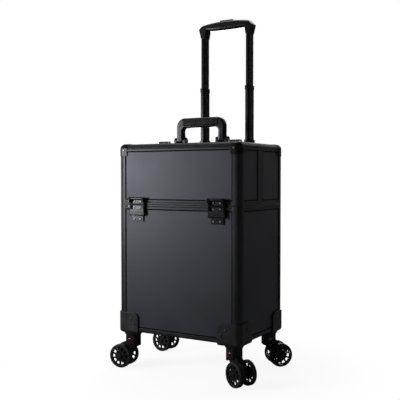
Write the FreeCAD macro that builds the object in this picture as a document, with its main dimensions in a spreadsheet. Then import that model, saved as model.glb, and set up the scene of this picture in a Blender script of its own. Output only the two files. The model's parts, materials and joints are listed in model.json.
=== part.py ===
"""Rolling makeup train case: a box on four swivel casters with a flip-up front lid,
a fixed rear hood, a folding carry handle and a two-stage trolley handle.

Millimetres, +Z up, +X to the right, +Y to the rear. The origin is on the floor under
the middle of the box.
"""
import FreeCAD, Part
import os
import re
import Sketcher
from FreeCAD import Placement, Rotation, Vector

# Driving dimensions, in millimetres and degrees
SIZES = {
    # the box
    "case_width": 351,
    "case_depth": 240,
    "lower_height": 327.5,
    "upper_height": 153,
    "lid_depth": 108,
    "seam_gap": 0.8,
    # rails, posts and panels
    "rail": 20,
    "base_rail": 12,
    "rim_rail": 11,
    "top_rail": 18,
    "seam_rail": 11,
    "edge_round": 12,
    "base_round": 6,
    "panel_thickness": 5,
    "panel_inset": 1.2,
    "panel_tongue": 5,
    "base_thickness": 6,
    # corner caps and rivets
    "cap_reach": 26,
    "cap_drop": 30,
    "cap_proud": 1.2,
    "rivet_radius": 3,
    "rivet_height": 1.2,
    "seam_rivet_inset": 32,
    "seam_rivet_rise": 7,
    # lid hinges
    "hinge_offset": 106,
    "hinge_width": 30,
    "hinge_leaf_length": 22,
    "hinge_leaf": 2,
    "hinge_rise": 6.5,
    "knuckle_radius": 4.2,
    "hinge_pin_radius": 2,
    "knuckle_gap": 0.4,
    "pin_fit": 0.05,
    # latches
    "latch_inset": 60,
    "latch_width": 46,
    "latch_rise": 15,
    "latch_drop": 28,
    "latch_stand": 6.5,
    "latch_plate": 2,
    "latch_arm": 5,
    "latch_arm_gap": 0.6,
    "latch_half_thickness": 4,
    "latch_knuckle": 3.4,
    "latch_pin_radius": 1.6,
    "latch_back_gap": 0.8,
    "tab_height": 16,
    "tab_thickness": 3.5,
    "bridge_height": 5,
    "toe_height": 2.4,
    "toe_reach": 2,
    "toe_clearance": 1.7,
    "ledge_height": 9,
    "ledge_gap": 1.4,
    "keeper_drop": 43,
    "keeper_rivet_rise": 6,
    "latch_rivet_inset": 8,
    # carry handle
    "handle_spacing": 125,
    "handle_setback": 13,
    "handle_floor_gap": 0.6,
    "handle_leg": 19,
    "handle_depth": 18,
    "handle_bar_low": 44.5,
    "handle_top": 70.5,
    "handle_outer_round": 24,
    "handle_inner_round": 9,
    "handle_soft_edge": 5,
    "handle_pin_radius": 3,
    "handle_bracket_plate": 2.5,
    "handle_ear": 7,
    "handle_ear_gap": 0.6,
    "handle_ear_half_depth": 8,
    "grip_insert_length": 104,
    "grip_insert_depth": 21,
    "grip_insert_margin": 4,
    # trolley handle
    "trolley_spacing": 139,
    "trolley_gap": 1,
    "upper_tube_width": 10.5,
    "upper_tube_depth": 29.5,
    "upper_tube_round": 3,
    "tube_wall": 1.2,
    "tube_gap": 0.4,
    "tube_overlap": 62,
    "lower_stage_length": 226,
    "lower_exposed": 146,
    "upper_exposed": 142,
    "outer_tube_rise": 14,
    "collar_wall": 1.2,
    "collar_sleeve": 8,
    "collar_lip": 4,
    "clamp_height": 30,
    "clamp_drop": 2,
    "clamp_wall": 5,
    "foot_height": 40,
    "foot_rise": 12,
    "foot_seat": 6,
    # pull grip and release
    "grip_depth": 30,
    "leg_flare_out": 6.5,
    "leg_flare_in": 4,
    "grip_end_height": 37,
    "grip_waist": 19.5,
    "grip_shoulder": 12,
    "grip_crown": 5.5,
    "grip_belly": 2,
    "grip_soft_edge": 8,
    "grip_floor": 2.5,
    "spigot_length": 15,
    "spigot_gap": 0.1,
    "button_length": 38,
    "button_depth": 12,
    "button_proud": 3.5,
    "button_travel": 4,
    "button_gap": 0.4,
    "release_bar": 4,
    "release_bar_half_depth": 4,
    "release_room": 0.8,
    "rod_radius": 1.8,
    "rod_gap": 0.6,
    "rod_end_rise": 8,
    # casters
    "stem_inset_side": 27,
    "stem_inset_front": 24,
    "caster_trail": 27,
    "wheel_radius": 30.5,
    "wheel_width": 14,
    "wheel_gap": 22,
    "wheel_clearance": 1.5,
    "tyre_depth": 6.5,
    "tyre_round": 3,
    "hub_rim": 3,
    "hub_web": 5,
    "hub_boss_radius": 15,
    "hub_windows": 10,
    "window_radius": 2.6,
    "axle_radius": 3,
    "axle_head_radius": 5.5,
    "axle_head": 1.5,
    "axle_play": 0.3,
    "housing_height": 22.5,
    "housing_length": 33,
    "housing_width": 33,
    "housing_round": 8,
    "lip_length": 10,
    "lip_drop": 6,
    "web_clearance": 1.5,
    "web_half_length": 13,
    "web_drop": 11,
    "swivel_gap": 1,
    "kingpin_radius": 5,
    "kingpin_grip": 12,
    "collar_height": 11.5,
    "collar_radius": 20,
    "collar_flare": 4,
    "front_left_heading": 188,
    "front_right_heading": -25,
    "rear_left_heading": 176,
    "rear_right_heading": 44,
    # corner brackets of the casters
    "bracket_reach": 60,
    "bracket_height": 50,
    "bracket_proud": 3.2,
    "bracket_base": 4,
    "bracket_round": 14,
    "bracket_foot_round": 8,
    "bracket_rivet_inset": 37,
    "bracket_rivet_rise": 34,
    "bracket_rivet_step": 12,
    # tray inside
    "tray_depth": 74,
    "tray_height": 44,
    "tray_wall": 2,
    "tray_side_gap": 6,
    "tray_front_gap": 4,
    "tray_drop": 5,
    "tray_cells": 4,
    "ledge_bar": 6,
    "ledge_overlap": 7,
    # how far a cutting shape runs past the face that it cuts
    "cut_margin": 2,
}

# Places worked out from the driving dimensions
PLACES = {
    "half_width": "case_width / 2",
    "front": "-case_depth / 2",
    "rear": "case_depth / 2",
    "axle_height": "wheel_radius",
    "housing_low": "2 * wheel_radius + wheel_clearance",
    "housing_top": "housing_low + housing_height",
    "collar_low": "housing_top + swivel_gap",
    "bottom": "collar_low + collar_height",
    "seam": "bottom + lower_height",
    "top": "seam + upper_height",
    "seam_y": "front + lid_depth",
    "lid_rear": "seam_y - seam_gap",
    "lid_low": "seam + seam_gap",
    "post": "half_width - rail",
    "tongue_x": "post + panel_tongue",
    "panel_in": "panel_inset + panel_thickness",
    "hinge_y": "seam_y - seam_gap / 2",
    "hinge_z": "top + hinge_rise",
    "latch_x": "half_width - latch_inset",
    "latch_y": "front - latch_stand",
    "latch_z": "seam + latch_rise",
    "latch_half": "latch_width / 2",
    "plate_half": "latch_half - latch_arm - latch_arm_gap",
    "flap_front": "latch_y - latch_half_thickness",
    "flap_low": "seam - latch_drop",
    "tab_back": "flap_front + tab_thickness",
    "ledge_front": "tab_back + ledge_gap",
    "ledge_low": "flap_low + toe_height + toe_clearance",
    "handle_x": "handle_spacing / 2",
    "handle_y": "seam_y + handle_setback",
    "handle_z": "top + handle_bracket_plate + handle_floor_gap + handle_depth / 2",
    "leg_out": "handle_x + handle_leg / 2",
    "leg_in": "handle_x - handle_leg / 2",
    "lower_tube_width": "upper_tube_width + 2 * (tube_gap + tube_wall)",
    "lower_tube_depth": "upper_tube_depth + 2 * (tube_gap + tube_wall)",
    "lower_tube_round": "upper_tube_round + tube_gap + tube_wall",
    "outer_tube_width": "lower_tube_width + 2 * (tube_gap + tube_wall)",
    "outer_tube_depth": "lower_tube_depth + 2 * (tube_gap + tube_wall)",
    "outer_tube_round": "lower_tube_round + tube_gap + tube_wall",
    "tube_x": "trolley_spacing / 2",
    "tube_y": "rear + trolley_gap + outer_tube_depth / 2",
    "outer_top": "top + outer_tube_rise",
    "lower_top": "outer_top + lower_exposed",
    "grip_low": "lower_top + upper_exposed",
    "grip_end_top": "grip_low + grip_end_height",
    "upper_low": "lower_top - tube_overlap",
    "clamp_out": "tube_x + outer_tube_width / 2 + clamp_wall",
    "clamp_back": "tube_y + outer_tube_depth / 2 + clamp_wall",
    "clamp_top": "top - top_rail - clamp_drop",
    "foot_low": "bottom + base_rail + foot_rise",
    "tube_foot": "foot_low + foot_seat",
    "button_top": "grip_end_top + grip_crown + button_proud",
    "room_low": "grip_low + grip_waist + grip_floor",
    "bar_low": "room_low + button_travel + release_room",
    "bar_top": "bar_low + release_bar",
    "stem_x": "half_width - stem_inset_side",
    "stem_y": "rear - stem_inset_front",
    "wheel_in": "wheel_gap / 2",
    "wheel_out": "wheel_gap / 2 + wheel_width",
    "hub_radius": "wheel_radius - tyre_depth",
    "window_ring": "(hub_radius - hub_rim + hub_boss_radius) / 2",
    "axle_half": "wheel_out + axle_play",
    "tray_x": "post - tray_side_gap",
    "tray_front": "front + rail + tray_front_gap",
    "tray_rear": "tray_front + tray_depth",
    "tray_top": "seam - tray_drop",
    "tray_low": "tray_top - tray_height",
}

doc = FreeCAD.newDocument("makeup_train_case")
sheet = doc.addObject("Spreadsheet::Sheet", "Dims")
nodes = []


def fill_sheet():
    """Write each driving dimension to the sheet, with its name as the alias."""
    for row, (name, size) in enumerate(SIZES.items(), start=1):
        sheet.set("A%d" % row, name)
        sheet.set("B%d" % row, str(size))
        sheet.setAlias("B%d" % row, name)
    doc.recompute()


def formula(text):
    """Turn the names of sizes and places in a formula into references to the sheet."""
    def swap(match):
        word = match.group(0)
        if word in PLACES:
            return "(" + formula(PLACES[word]) + ")"
        if word in SIZES:
            return "Dims." + word
        return word
    return re.sub(r"[a-z][a-z_]+", swap, text)


def number(text):
    """The present value of a formula."""
    return float(sheet.evalExpression(formula(text)))


def node(label, shape_object):
    """Name a finished sub-part, which is written to the file of that name."""
    shape_object.Label = label
    nodes.append(shape_object)
    return shape_object


def bind_block(target, x, y, z):
    """Tie a block's sizes and corner to formulas: each of x, y, z is (low, high)."""
    for size, axis, (low, high) in (("Length", "x", x), ("Width", "y", y), ("Height", "z", z)):
        target.setExpression(size, formula("(%s) - (%s)" % (high, low)))
        target.setExpression("Placement.Base." + axis, formula(low))


def block(name, x, y, z):
    """A plain block between (low, high) on each axis."""
    plain = doc.addObject("Part::Box", name)
    bind_block(plain, x, y, z)
    return plain


def span(centre, half):
    """The (low, high) pair that lies half to each side of a centre."""
    return "(%s) - (%s)" % (centre, half), "(%s) + (%s)" % (centre, half)


def edge_names(shape, sides):
    """Edges that lie on both of the named sides of a shape's box, such as 'right top'."""
    box = shape.BoundBox
    limits = {"left": ("x", box.XMin), "right": ("x", box.XMax), "front": ("y", box.YMin),
              "rear": ("y", box.YMax), "bottom": ("z", box.ZMin), "top": ("z", box.ZMax)}
    found = []
    for index, edge in enumerate(shape.Edges, start=1):
        middle = edge.BoundBox.Center
        for pair in sides:
            if all(abs(getattr(middle, limits[side][0]) - limits[side][1]) < 1e-6
                   for side in pair.split()):
                found.append("Edge%d" % index)
    return found


def add_fillet(body, base, edges, radius):
    """Round the named edges of a body's last feature."""
    rounding = body.newObject("PartDesign::Fillet", body.Name + "_round")
    rounding.Base = (base, edges)
    rounding.setExpression("Radius", formula(radius))
    body.Tip = rounding
    return rounding


def rounded_block(name, x, y, z, sides, radius):
    """A block with the edges between the named pairs of sides rounded."""
    body = doc.addObject("PartDesign::Body", name)
    core = body.newObject("PartDesign::AdditiveBox", name + "_core")
    bind_block(core, x, y, z)
    doc.recompute()
    add_fillet(body, core, edge_names(core.Shape, sides), radius)
    return body


TURNS = {"x": Rotation(Vector(0, 1, 0), 90), "y": Rotation(Vector(1, 0, 0), -90), "z": Rotation()}


def rod(name, axis, centre, radius, reach):
    """A cylinder along one axis; centre names its place on the other two, reach is (low, high)."""
    bar = doc.addObject("Part::Cylinder", name)
    bar.Placement = Placement(Vector(), TURNS[axis])
    bar.setExpression("Radius", formula(radius))
    bar.setExpression("Height", formula("(%s) - (%s)" % (reach[1], reach[0])))
    across = [other for other in "xyz" if other != axis]
    bar.setExpression("Placement.Base." + axis, formula(reach[0]))
    for other, place in zip(across, centre):
        bar.setExpression("Placement.Base." + other, formula(place))
    return bar


def cone(name, centre, low_radius, high_radius, reach):
    """An upright cone between two heights."""
    flare = doc.addObject("Part::Cone", name)
    flare.setExpression("Radius1", formula(low_radius))
    flare.setExpression("Radius2", formula(high_radius))
    flare.setExpression("Height", formula("(%s) - (%s)" % (reach[1], reach[0])))
    flare.setExpression("Placement.Base.x", formula(centre[0]))
    flare.setExpression("Placement.Base.y", formula(centre[1]))
    flare.setExpression("Placement.Base.z", formula(reach[0]))
    return flare


def cut(name, base, tool):
    """The base with the tool taken out of it."""
    result = doc.addObject("Part::Cut", name)
    result.Base = base
    result.Tool = tool
    return result


def fuse(name, pieces):
    """Several pieces joined into one solid."""
    result = doc.addObject("Part::MultiFuse", name)
    result.Shapes = pieces
    return result


def group(name, pieces):
    """Several separate solids kept together."""
    result = doc.addObject("Part::Compound", name)
    result.Links = pieces
    return result


MIRRORS = {"x": Vector(1, 0, 0), "y": Vector(0, 1, 0)}


def mirrored(piece, axis="x"):
    """The same piece on the other side of the middle of the box."""
    copy = doc.addObject("Part::Mirroring", piece.Name + "_over_" + axis)
    copy.Source = piece
    copy.Normal = MIRRORS[axis]
    return copy


def both(*pieces):
    """Each piece and its copy on the other side."""
    return [side for piece in pieces for side in (piece, mirrored(piece))]


PLANE_NORMALS = {"XY_Plane": 1, "XZ_Plane": -1, "YZ_Plane": 1}


def sketch_on(body, plane, height):
    """A sketch on one of the body's own planes, moved along the axis to a height."""
    sketch = body.newObject("Sketcher::SketchObject", body.Name + "_outline")
    support = [feature for feature in body.Origin.OriginFeatures if feature.Role == plane][0]
    sketch.AttachmentSupport = [(support, "")]
    sketch.MapMode = "FlatFace"
    sketch.setExpression("AttachmentOffset.Base.z", formula("%d * (%s)" % (PLANE_NORMALS[plane], height)))
    return sketch


def pin_point(sketch, geometry, end, x, y):
    """Tie one end of a line or arc to formulas for its two coordinates."""
    for kind, place in (("DistanceX", x), ("DistanceY", y)):
        rule = sketch.addConstraint(Sketcher.Constraint(kind, -1, 1, geometry, end, number(place)))
        sketch.setExpression("Constraints[%d]" % rule, formula(place))


def draw_outline(sketch, corners):
    """Draw a closed outline, anticlockwise.

    Each corner is (x, y) in formulas, or (x, y, bend) where the edge to the next corner is
    an arc of that radius: it swells outwards, or inwards where the bend starts with 'in '.
    """
    points = [Vector(number(corner[0]), number(corner[1]), 0) for corner in corners]
    edges = []
    for index, corner in enumerate(corners):
        start = points[index]
        end = points[(index + 1) % len(points)]
        if len(corner) == 2:
            geometry = sketch.addGeometry(Part.LineSegment(start, end))
            edges.append((geometry, 1, 2))
            continue
        inward = corner[2].startswith("in ")
        radius = corner[2][3:] if inward else corner[2]
        chord = end - start
        side = Vector(-chord.y, chord.x, 0).normalize()
        rise = max(number(radius) ** 2 - chord.Length ** 2 / 4, 0) ** 0.5
        centre = (start + end) * 0.5 + side * (-rise if inward else rise)
        first, last = (end, start) if inward else (start, end)
        circle = Part.Circle(centre, Vector(0, 0, 1), number(radius))
        arc = Part.ArcOfCircle(circle, circle.parameter(first), circle.parameter(last))
        geometry = sketch.addGeometry(arc)
        edges.append((geometry, 2, 1) if inward else (geometry, 1, 2))
        rule = sketch.addConstraint(Sketcher.Constraint("Radius", geometry, number(radius)))
        sketch.setExpression("Constraints[%d]" % rule, formula(radius))
    for index, corner in enumerate(corners):
        before = edges[index - 1]
        after = edges[index]
        sketch.addConstraint(Sketcher.Constraint("Coincident", before[0], before[2], after[0], after[1]))
        pin_point(sketch, after[0], after[1], corner[0], corner[1])


def prism(name, plane, outlines, reach):
    """A body padded between two heights from one outline, or from an outline and its holes."""
    body = doc.addObject("PartDesign::Body", name)
    start = reach[1] if PLANE_NORMALS[plane] < 0 else reach[0]
    sketch = sketch_on(body, plane, start)
    for outline in outlines:
        draw_outline(sketch, outline)
    pad = body.newObject("PartDesign::Pad", name + "_pad")
    pad.Profile = sketch
    pad.setExpression("Length", formula("(%s) - (%s)" % (reach[1], reach[0])))
    doc.recompute()
    return body, pad


def rounded_rectangle(x, y, radius):
    """Outline of a rectangle with rounded corners, from (low, high) on each axis."""
    left, right = x
    low, high = y
    near = "(%s) + (%s)"
    far = "(%s) - (%s)"
    return [(near % (left, radius), low), (far % (right, radius), low, radius),
            (right, near % (low, radius)), (right, far % (high, radius), radius),
            (far % (right, radius), high), (near % (left, radius), high, radius),
            (left, far % (high, radius)), (left, near % (low, radius), radius)]


# Panels, posts and rails of the box

def upright_panels(name, y, z, sides_only=False):
    """Front or rear panel across the box, or the pair of side panels along y."""
    if sides_only:
        side = block(name + "_side", ("half_width - panel_in", "half_width - panel_inset"), y, z)
        return group(name, both(side))
    return block(name, ("-tongue_x", "tongue_x"), y, z)


FRONT_SKIN = ("front + panel_inset", "front + panel_in")
REAR_SKIN = ("rear - panel_in", "rear - panel_inset")
TOP_SKIN = ("top - panel_in", "top - panel_inset")
RIGHT_POST = ("post", "half_width")
ACROSS = ("-(post)", "post")
FRONT_RAIL = ("front", "front + rail")
REAR_RAIL = ("rear - rail", "rear")


def lower_box():
    """Panels, corner posts, base rails and rim rails below the seam."""
    z = ("bottom + base_rail - panel_tongue", "seam - rim_rail + panel_tongue")
    y = ("front + rail - panel_tongue", "rear - rail + panel_tongue")
    panels = [
        node("lower_front_panel", upright_panels("lower_front", FRONT_SKIN, z)),
        node("lower_rear_panel", upright_panels("lower_rear", REAR_SKIN, z)),
        node("lower_side_panels", upright_panels("lower_sides", y, z, sides_only=True)),
        node("base_panel", block("base", ("-tongue_x", "tongue_x"), y,
                                 ("bottom + panel_inset", "bottom + panel_inset + base_thickness"))),
    ]
    slots = group("lower_slots", panels)
    full = ("bottom", "seam")
    posts = both(
        rounded_block("lower_front_post", RIGHT_POST, FRONT_RAIL, full, ["right front"], "edge_round"),
        rounded_block("lower_rear_post", RIGHT_POST, REAR_RAIL, full, ["right rear"], "edge_round"))
    node("lower_corner_posts", cut("lower_posts", group("lower_post_bars", posts), slots))
    along = ("front + rail", "rear - rail")
    base = ("bottom", "bottom + base_rail")
    rails = [rounded_block("base_front", ACROSS, FRONT_RAIL, base, ["front bottom"], "base_round"),
             rounded_block("base_rear", ACROSS, REAR_RAIL, base, ["rear bottom"], "base_round")]
    rails += both(rounded_block("base_side", RIGHT_POST, along, base, ["right bottom"], "base_round"))
    node("base_rails", cut("base_rail_set", group("base_rail_bars", rails), slots))
    rim = ("seam - rim_rail", "seam")
    rims = [block("rim_front", ACROSS, FRONT_RAIL, rim), block("rim_rear", ACROSS, REAR_RAIL, rim)]
    rims += both(block("rim_side", RIGHT_POST, along, rim))
    node("body_rim_rails", cut("rim_rail_set", group("rim_rail_bars", rims), slots))


def upper_half(name, skin, outer_rail, outer_side, seam_rails, along, low):
    """Panels and rails of one half of the top: the lid or the hood.

    The half has an upright outer panel, two sides and a top, framed by posts and rails, and is
    open towards the seam and below.
    """
    z = ("%s + rim_rail - panel_tongue" % low, "top - top_rail + panel_tongue")
    y = ("%s - panel_tongue" % along[0], "%s + panel_tongue" % along[1])
    upright = "back" if outer_side == "rear" else "front"
    panels = [
        node("%s_%s_panel" % (name, upright), upright_panels(name + "_upright", skin, z)),
        node(name + "_side_panels", upright_panels(name + "_sides", y, z, sides_only=True)),
        node(name + "_top_panel", block(name + "_top", ("-tongue_x", "tongue_x"), y, TOP_SKIN)),
    ]
    full = (low, "top")
    high = ("top - top_rail", "top")
    sill = (low, "%s + rim_rail" % low)
    corner = ["right " + outer_side, "right top", outer_side + " top"]
    bars = both(rounded_block(name + "_post", RIGHT_POST, outer_rail, full, corner, "edge_round"),
                rounded_block(name + "_seam_post", RIGHT_POST, seam_rails, full, ["right top"], "edge_round"),
                rounded_block(name + "_top_side", RIGHT_POST, along, high, ["right top"], "edge_round"),
                block(name + "_sill_side", RIGHT_POST, along, sill))
    crown = [outer_side + " top"]
    bars += [rounded_block(name + "_top_outer", ACROSS, outer_rail, high, crown, "edge_round"),
             block(name + "_top_seam", ACROSS, seam_rails, high),
             block(name + "_sill_outer", ACROSS, outer_rail, sill)]
    slots = group(name + "_slots", panels)
    node(name + "_rails", cut(name + "_rail_set", group(name + "_bars", bars), slots))


def corner_caps():
    """Moulded caps over the four top corners, of even thickness on three sides."""
    sides = ["right front", "right top", "front top"]
    skin = rounded_block("cap_skin", ("half_width - cap_reach", "half_width + cap_proud"),
                         ("front - cap_proud", "front + cap_reach"),
                         ("top - cap_drop", "top + cap_proud"), sides, "edge_round + cap_proud")
    core = rounded_block("cap_core", ("half_width - cap_reach - cut_margin", "half_width"),
                         ("front", "front + cap_reach + cut_margin"),
                         ("top - cap_drop - cut_margin", "top"), sides, "edge_round")
    cap = cut("cap", skin, core)
    node("lid_corner_caps", group("lid_caps", both(cap)))
    node("hood_corner_caps", group("hood_caps", both(mirrored(cap, "y"))))


# Lid hinges

def hinges():
    """Two knuckle hinges over the seam on the top: leaves on the lid, leaves on the hood, pins."""
    third = "hinge_width / 3"
    centre = ("hinge_y", "hinge_z")
    bore = rod("hinge_bore", "x", centre, "hinge_pin_radius + pin_fit", span("hinge_offset", "hinge_width"))
    leaf_z = ("top", "top + hinge_leaf")
    web_z = ("top", "hinge_z")
    clear = "knuckle_radius + knuckle_gap"
    middle = span("hinge_offset", third + " / 2")
    full = span("hinge_offset", "hinge_width / 2")
    lid_leaf = fuse("lid_leaf", [
        block("lid_leaf_plate", full, ("hinge_y - hinge_leaf_length", "hinge_y - (%s)" % clear), leaf_z),
        block("lid_leaf_web", middle, ("hinge_y - hinge_leaf_length", "hinge_y - hinge_pin_radius"), leaf_z),
        block("lid_leaf_stem", middle, ("hinge_y - knuckle_radius", "hinge_y - hinge_pin_radius"), web_z),
        rod("lid_knuckle", "x", centre, "knuckle_radius", middle)])
    node("hinge_leaves_lid", group("lid_leaves", both(cut("lid_leaf_bored", lid_leaf, bore))))
    parts = [block("hood_leaf_plate", full,
                   ("hinge_y + (%s)" % clear, "hinge_y + hinge_leaf_length"), leaf_z)]
    outers = {"inner": (full[0], middle[0] + " - knuckle_gap"),
              "outer": (middle[1] + " + knuckle_gap", full[1])}
    for side, reach in outers.items():
        parts.append(block("hood_web_" + side, reach, ("hinge_y + hinge_pin_radius",
                                                       "hinge_y + hinge_leaf_length"), leaf_z))
        parts.append(block("hood_stem_" + side, reach, ("hinge_y + hinge_pin_radius",
                                                        "hinge_y + knuckle_radius"), web_z))
        parts.append(rod("hood_knuckle_" + side, "x", centre, "knuckle_radius", reach))
    hood_leaf = cut("hood_leaf_bored", fuse("hood_leaf", parts), bore)
    node("hinge_leaves_hood", group("hood_leaves", both(hood_leaf)))
    head = ("%s - hinge_leaf" % full[0], full[0])
    tail = (full[1], "%s + hinge_leaf" % full[1])
    pin = fuse("hinge_pin", [rod("hinge_pin_shank", "x", centre, "hinge_pin_radius", full),
                             rod("hinge_pin_head", "x", centre, "knuckle_radius", head),
                             rod("hinge_pin_tail", "x", centre, "knuckle_radius", tail)])
    node("hinge_pins", group("hinge_pin_pair", both(pin)))


# Latches

def latches():
    """Two draw latches on the front: plate on the lid, swinging flap, pin, keeper on the box."""
    centre = ("latch_y", "latch_z")
    plate_x = span("latch_x", "plate_half")
    full = span("latch_x", "latch_half")
    plate_y = ("front - latch_plate", "front")
    plate = fuse("latch_plate_blank", [
        block("latch_plate_sheet", plate_x, plate_y, ("lid_low", "latch_z + latch_knuckle")),
        block("latch_plate_web", plate_x, ("latch_y", "front"), ("latch_z", "latch_z + latch_knuckle")),
        rod("latch_plate_knuckle", "x", centre, "latch_knuckle", plate_x)])
    pin = rod("latch_pin", "x", centre, "latch_pin_radius", full)
    node("latch_plates", group("latch_plate_pair", both(cut("latch_plate_bored", plate, pin))))
    node("latch_pins", group("latch_pin_pair", both(pin)))
    arm_z = ("flap_low", "latch_z")
    arm_y = ("flap_front", "front - latch_back_gap")
    eye_radius = "latch_half_thickness"
    bore = rod("latch_flap_bore", "x", centre, "latch_pin_radius + pin_fit",
               span("latch_x", "latch_width"))
    arms = []
    for side, reach in (("inner", (full[0], full[0] + " + latch_arm")),
                        ("outer", (full[1] + " - latch_arm", full[1]))):
        arms.append(block("flap_arm_" + side, reach, arm_y, arm_z))
        arms.append(rod("flap_eye_" + side, "x", centre, eye_radius, reach))
    tab = rounded_block("flap_tab", full, ("flap_front", "tab_back"), ("flap_low", "flap_low + tab_height"),
                        ["front bottom"], "tab_thickness / 2")
    toe = block("flap_toe", plate_x, ("tab_back", "ledge_front + toe_reach"),
                ("flap_low", "flap_low + toe_height"))
    bridge = block("flap_bridge", full, ("flap_front", "tab_back"), span("seam", "bridge_height / 2"))
    flap = cut("flap", fuse("flap_blank", arms + [tab, toe, bridge]), bore)
    node("right_latch_flap", group("right_flap", [flap]))
    node("left_latch_flap", group("left_flap", [mirrored(flap)]))
    keeper = fuse("keeper", [
        block("keeper_sheet", plate_x, plate_y, ("seam - keeper_drop", "seam - seam_gap")),
        block("keeper_ledge", plate_x, ("ledge_front", "front"), ("ledge_low", "ledge_low + ledge_height"))])
    node("latch_keepers", group("keepers", both(keeper)))


# Rivets

def rivet_on_front(name, x, y, z):
    """A rivet head on a face that looks to the front; y is the face."""
    return rod(name, "y", (x, z), "rivet_radius", ("%s - rivet_height" % y, y))


def rivet_on_right(name, x, y, z):
    """A rivet head on a face that looks to the right; x is the face."""
    return rod(name, "x", (y, z), "rivet_radius", (x, "%s + rivet_height" % x))


def rivets():
    """Rivet heads on the seam corners, caps, latches and caster brackets."""
    inset = "half_width - seam_rivet_inset"
    latch_xs = ["latch_x - plate_half + latch_rivet_inset",
                "latch_x + plate_half - latch_rivet_inset"]
    sheet_y = "front - latch_plate"
    lid = [rivet_on_front("lid_seam_rivet", inset, "front", "lid_low + seam_rivet_rise"),
           rivet_on_front("lid_cap_rivet", "half_width - cap_reach / 2 - rivet_radius", "front - cap_proud",
                          "top - cap_drop / 2"),
           rivet_on_right("lid_cap_side_rivet", "half_width + cap_proud",
                          "front + cap_reach / 2 + rivet_radius", "top - cap_drop / 2")]
    lid += [rivet_on_front("lid_latch_rivet_%d" % index, x, sheet_y, "lid_low + seam_rivet_rise")
            for index, x in enumerate(latch_xs)]
    node("lid_rivets", group("lid_rivet_set", both(*lid)))
    body = [rivet_on_front("box_seam_rivet", inset, "front", "seam - rim_rail / 2")]
    for index, x in enumerate(latch_xs):
        for level, z in (("low", "seam - keeper_drop + keeper_rivet_rise"),
                         ("high", "seam - seam_rivet_rise")):
            body.append(rivet_on_front("keeper_rivet_%s_%d" % (level, index), x, sheet_y, z))
    front_face = "front - bracket_proud"
    right_face = "half_width + bracket_proud"
    for index in range(2):
        inward = "(bracket_rivet_inset + %d * bracket_rivet_step)" % index
        rise = "bottom + bracket_rivet_rise - %d * bracket_rivet_step" % index
        on_front = rivet_on_front("bracket_rivet_%d" % index, "half_width - " + inward, front_face, rise)
        on_side = rivet_on_right("bracket_side_rivet_%d" % index, right_face, "front + " + inward, rise)
        body += [on_front, on_side, mirrored(on_front, "y"), mirrored(on_side, "y")]
    for cap_rivet in lid[1:3]:
        body.append(mirrored(cap_rivet, "y"))
    node("body_rivets", group("body_rivet_set", both(*body)))


# Carry handle

def carry_handle():
    """Bail handle on the hood: brackets, pins, frame with two legs and a ribbed grip."""
    centre = ("handle_y", "handle_z")
    bracket_half = "handle_leg / 2 + handle_ear_gap + handle_ear"
    ear_in = "handle_leg / 2 + handle_ear_gap"
    depth = span("handle_y", "handle_ear_half_depth")
    parts = [block("handle_plate", span("handle_x", bracket_half), depth,
                   ("top", "top + handle_bracket_plate"))]
    for side, sign in (("outer", "+"), ("inner", "-")):
        near = "handle_x %s (%s)" % (sign, ear_in)
        far = "handle_x %s (%s)" % (sign, bracket_half)
        reach = (near, far) if sign == "+" else (far, near)
        parts.append(block("handle_ear_" + side, reach, depth, ("top", "handle_z")))
        parts.append(rod("handle_ear_top_" + side, "x", centre, "handle_ear_half_depth", reach))
    pin = rod("handle_pin", "x", centre, "handle_pin_radius", span("handle_x", bracket_half))
    bracket = cut("handle_bracket", fuse("handle_ears", parts), pin)
    node("handle_brackets", group("handle_bracket_pair", both(bracket)))
    node("handle_pins", group("handle_pin_pair", both(pin)))
    bar = "top + handle_bar_low"
    crest = "top + handle_top"
    outline = [("leg_in", "handle_z"), ("leg_out", "handle_z"),
               ("leg_out", crest + " - handle_outer_round", "handle_outer_round"),
               ("leg_out - handle_outer_round", crest),
               ("handle_outer_round - leg_out", crest, "handle_outer_round"),
               ("-(leg_out)", crest + " - handle_outer_round"),
               ("-(leg_out)", "handle_z"), ("-(leg_in)", "handle_z"),
               ("-(leg_in)", bar + " - handle_inner_round", "in handle_inner_round"),
               ("handle_inner_round - leg_in", bar),
               ("leg_in - handle_inner_round", bar, "in handle_inner_round"),
               ("leg_in", bar + " - handle_inner_round")]
    body, pad = prism("bail", "XZ_Plane", [outline], span("handle_y", "handle_depth / 2"))
    sides = [side + " top" for side in ("front", "rear")]
    rims = edge_names(pad.Shape, sides)
    add_fillet(body, pad, rims, "handle_soft_edge")
    eye = rod("handle_eye", "x", centre, "handle_depth / 2", ("leg_in", "leg_out"))
    bore = rod("handle_eye_bore", "x", centre, "handle_pin_radius + pin_fit", span("handle_x", "handle_leg"))
    blank = fuse("handle_blank", [body] + both(eye))
    grip = rounded_block("handle_grip", span("0", "grip_insert_length / 2"),
                         span("handle_y", "grip_insert_depth / 2"),
                         (bar + " + grip_insert_margin", crest + " - grip_insert_margin"),
                         ["front top", "front bottom", "rear top", "rear bottom"], "handle_soft_edge")
    node("carry_handle_grip", group("handle_grip_set", [grip]))
    tools = group("handle_tools", both(bore) + [grip])
    node("carry_handle_frame", cut("handle_frame", blank, tools))


# Trolley handle

def tube(name, stage, reach):
    """A hollow tube of one stage of the trolley, on the right-hand side."""
    width = "%s_tube_width / 2" % stage
    depth = "%s_tube_depth / 2" % stage
    bend = "%s_tube_round" % stage
    skin = rounded_rectangle(span("tube_x", width), span("tube_y", depth), bend)
    bore = rounded_rectangle(span("tube_x", width + " - tube_wall"), span("tube_y", depth + " - tube_wall"),
                             bend + " - tube_wall")
    return prism(name, "XY_Plane", [skin, bore], reach)[0]


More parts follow.
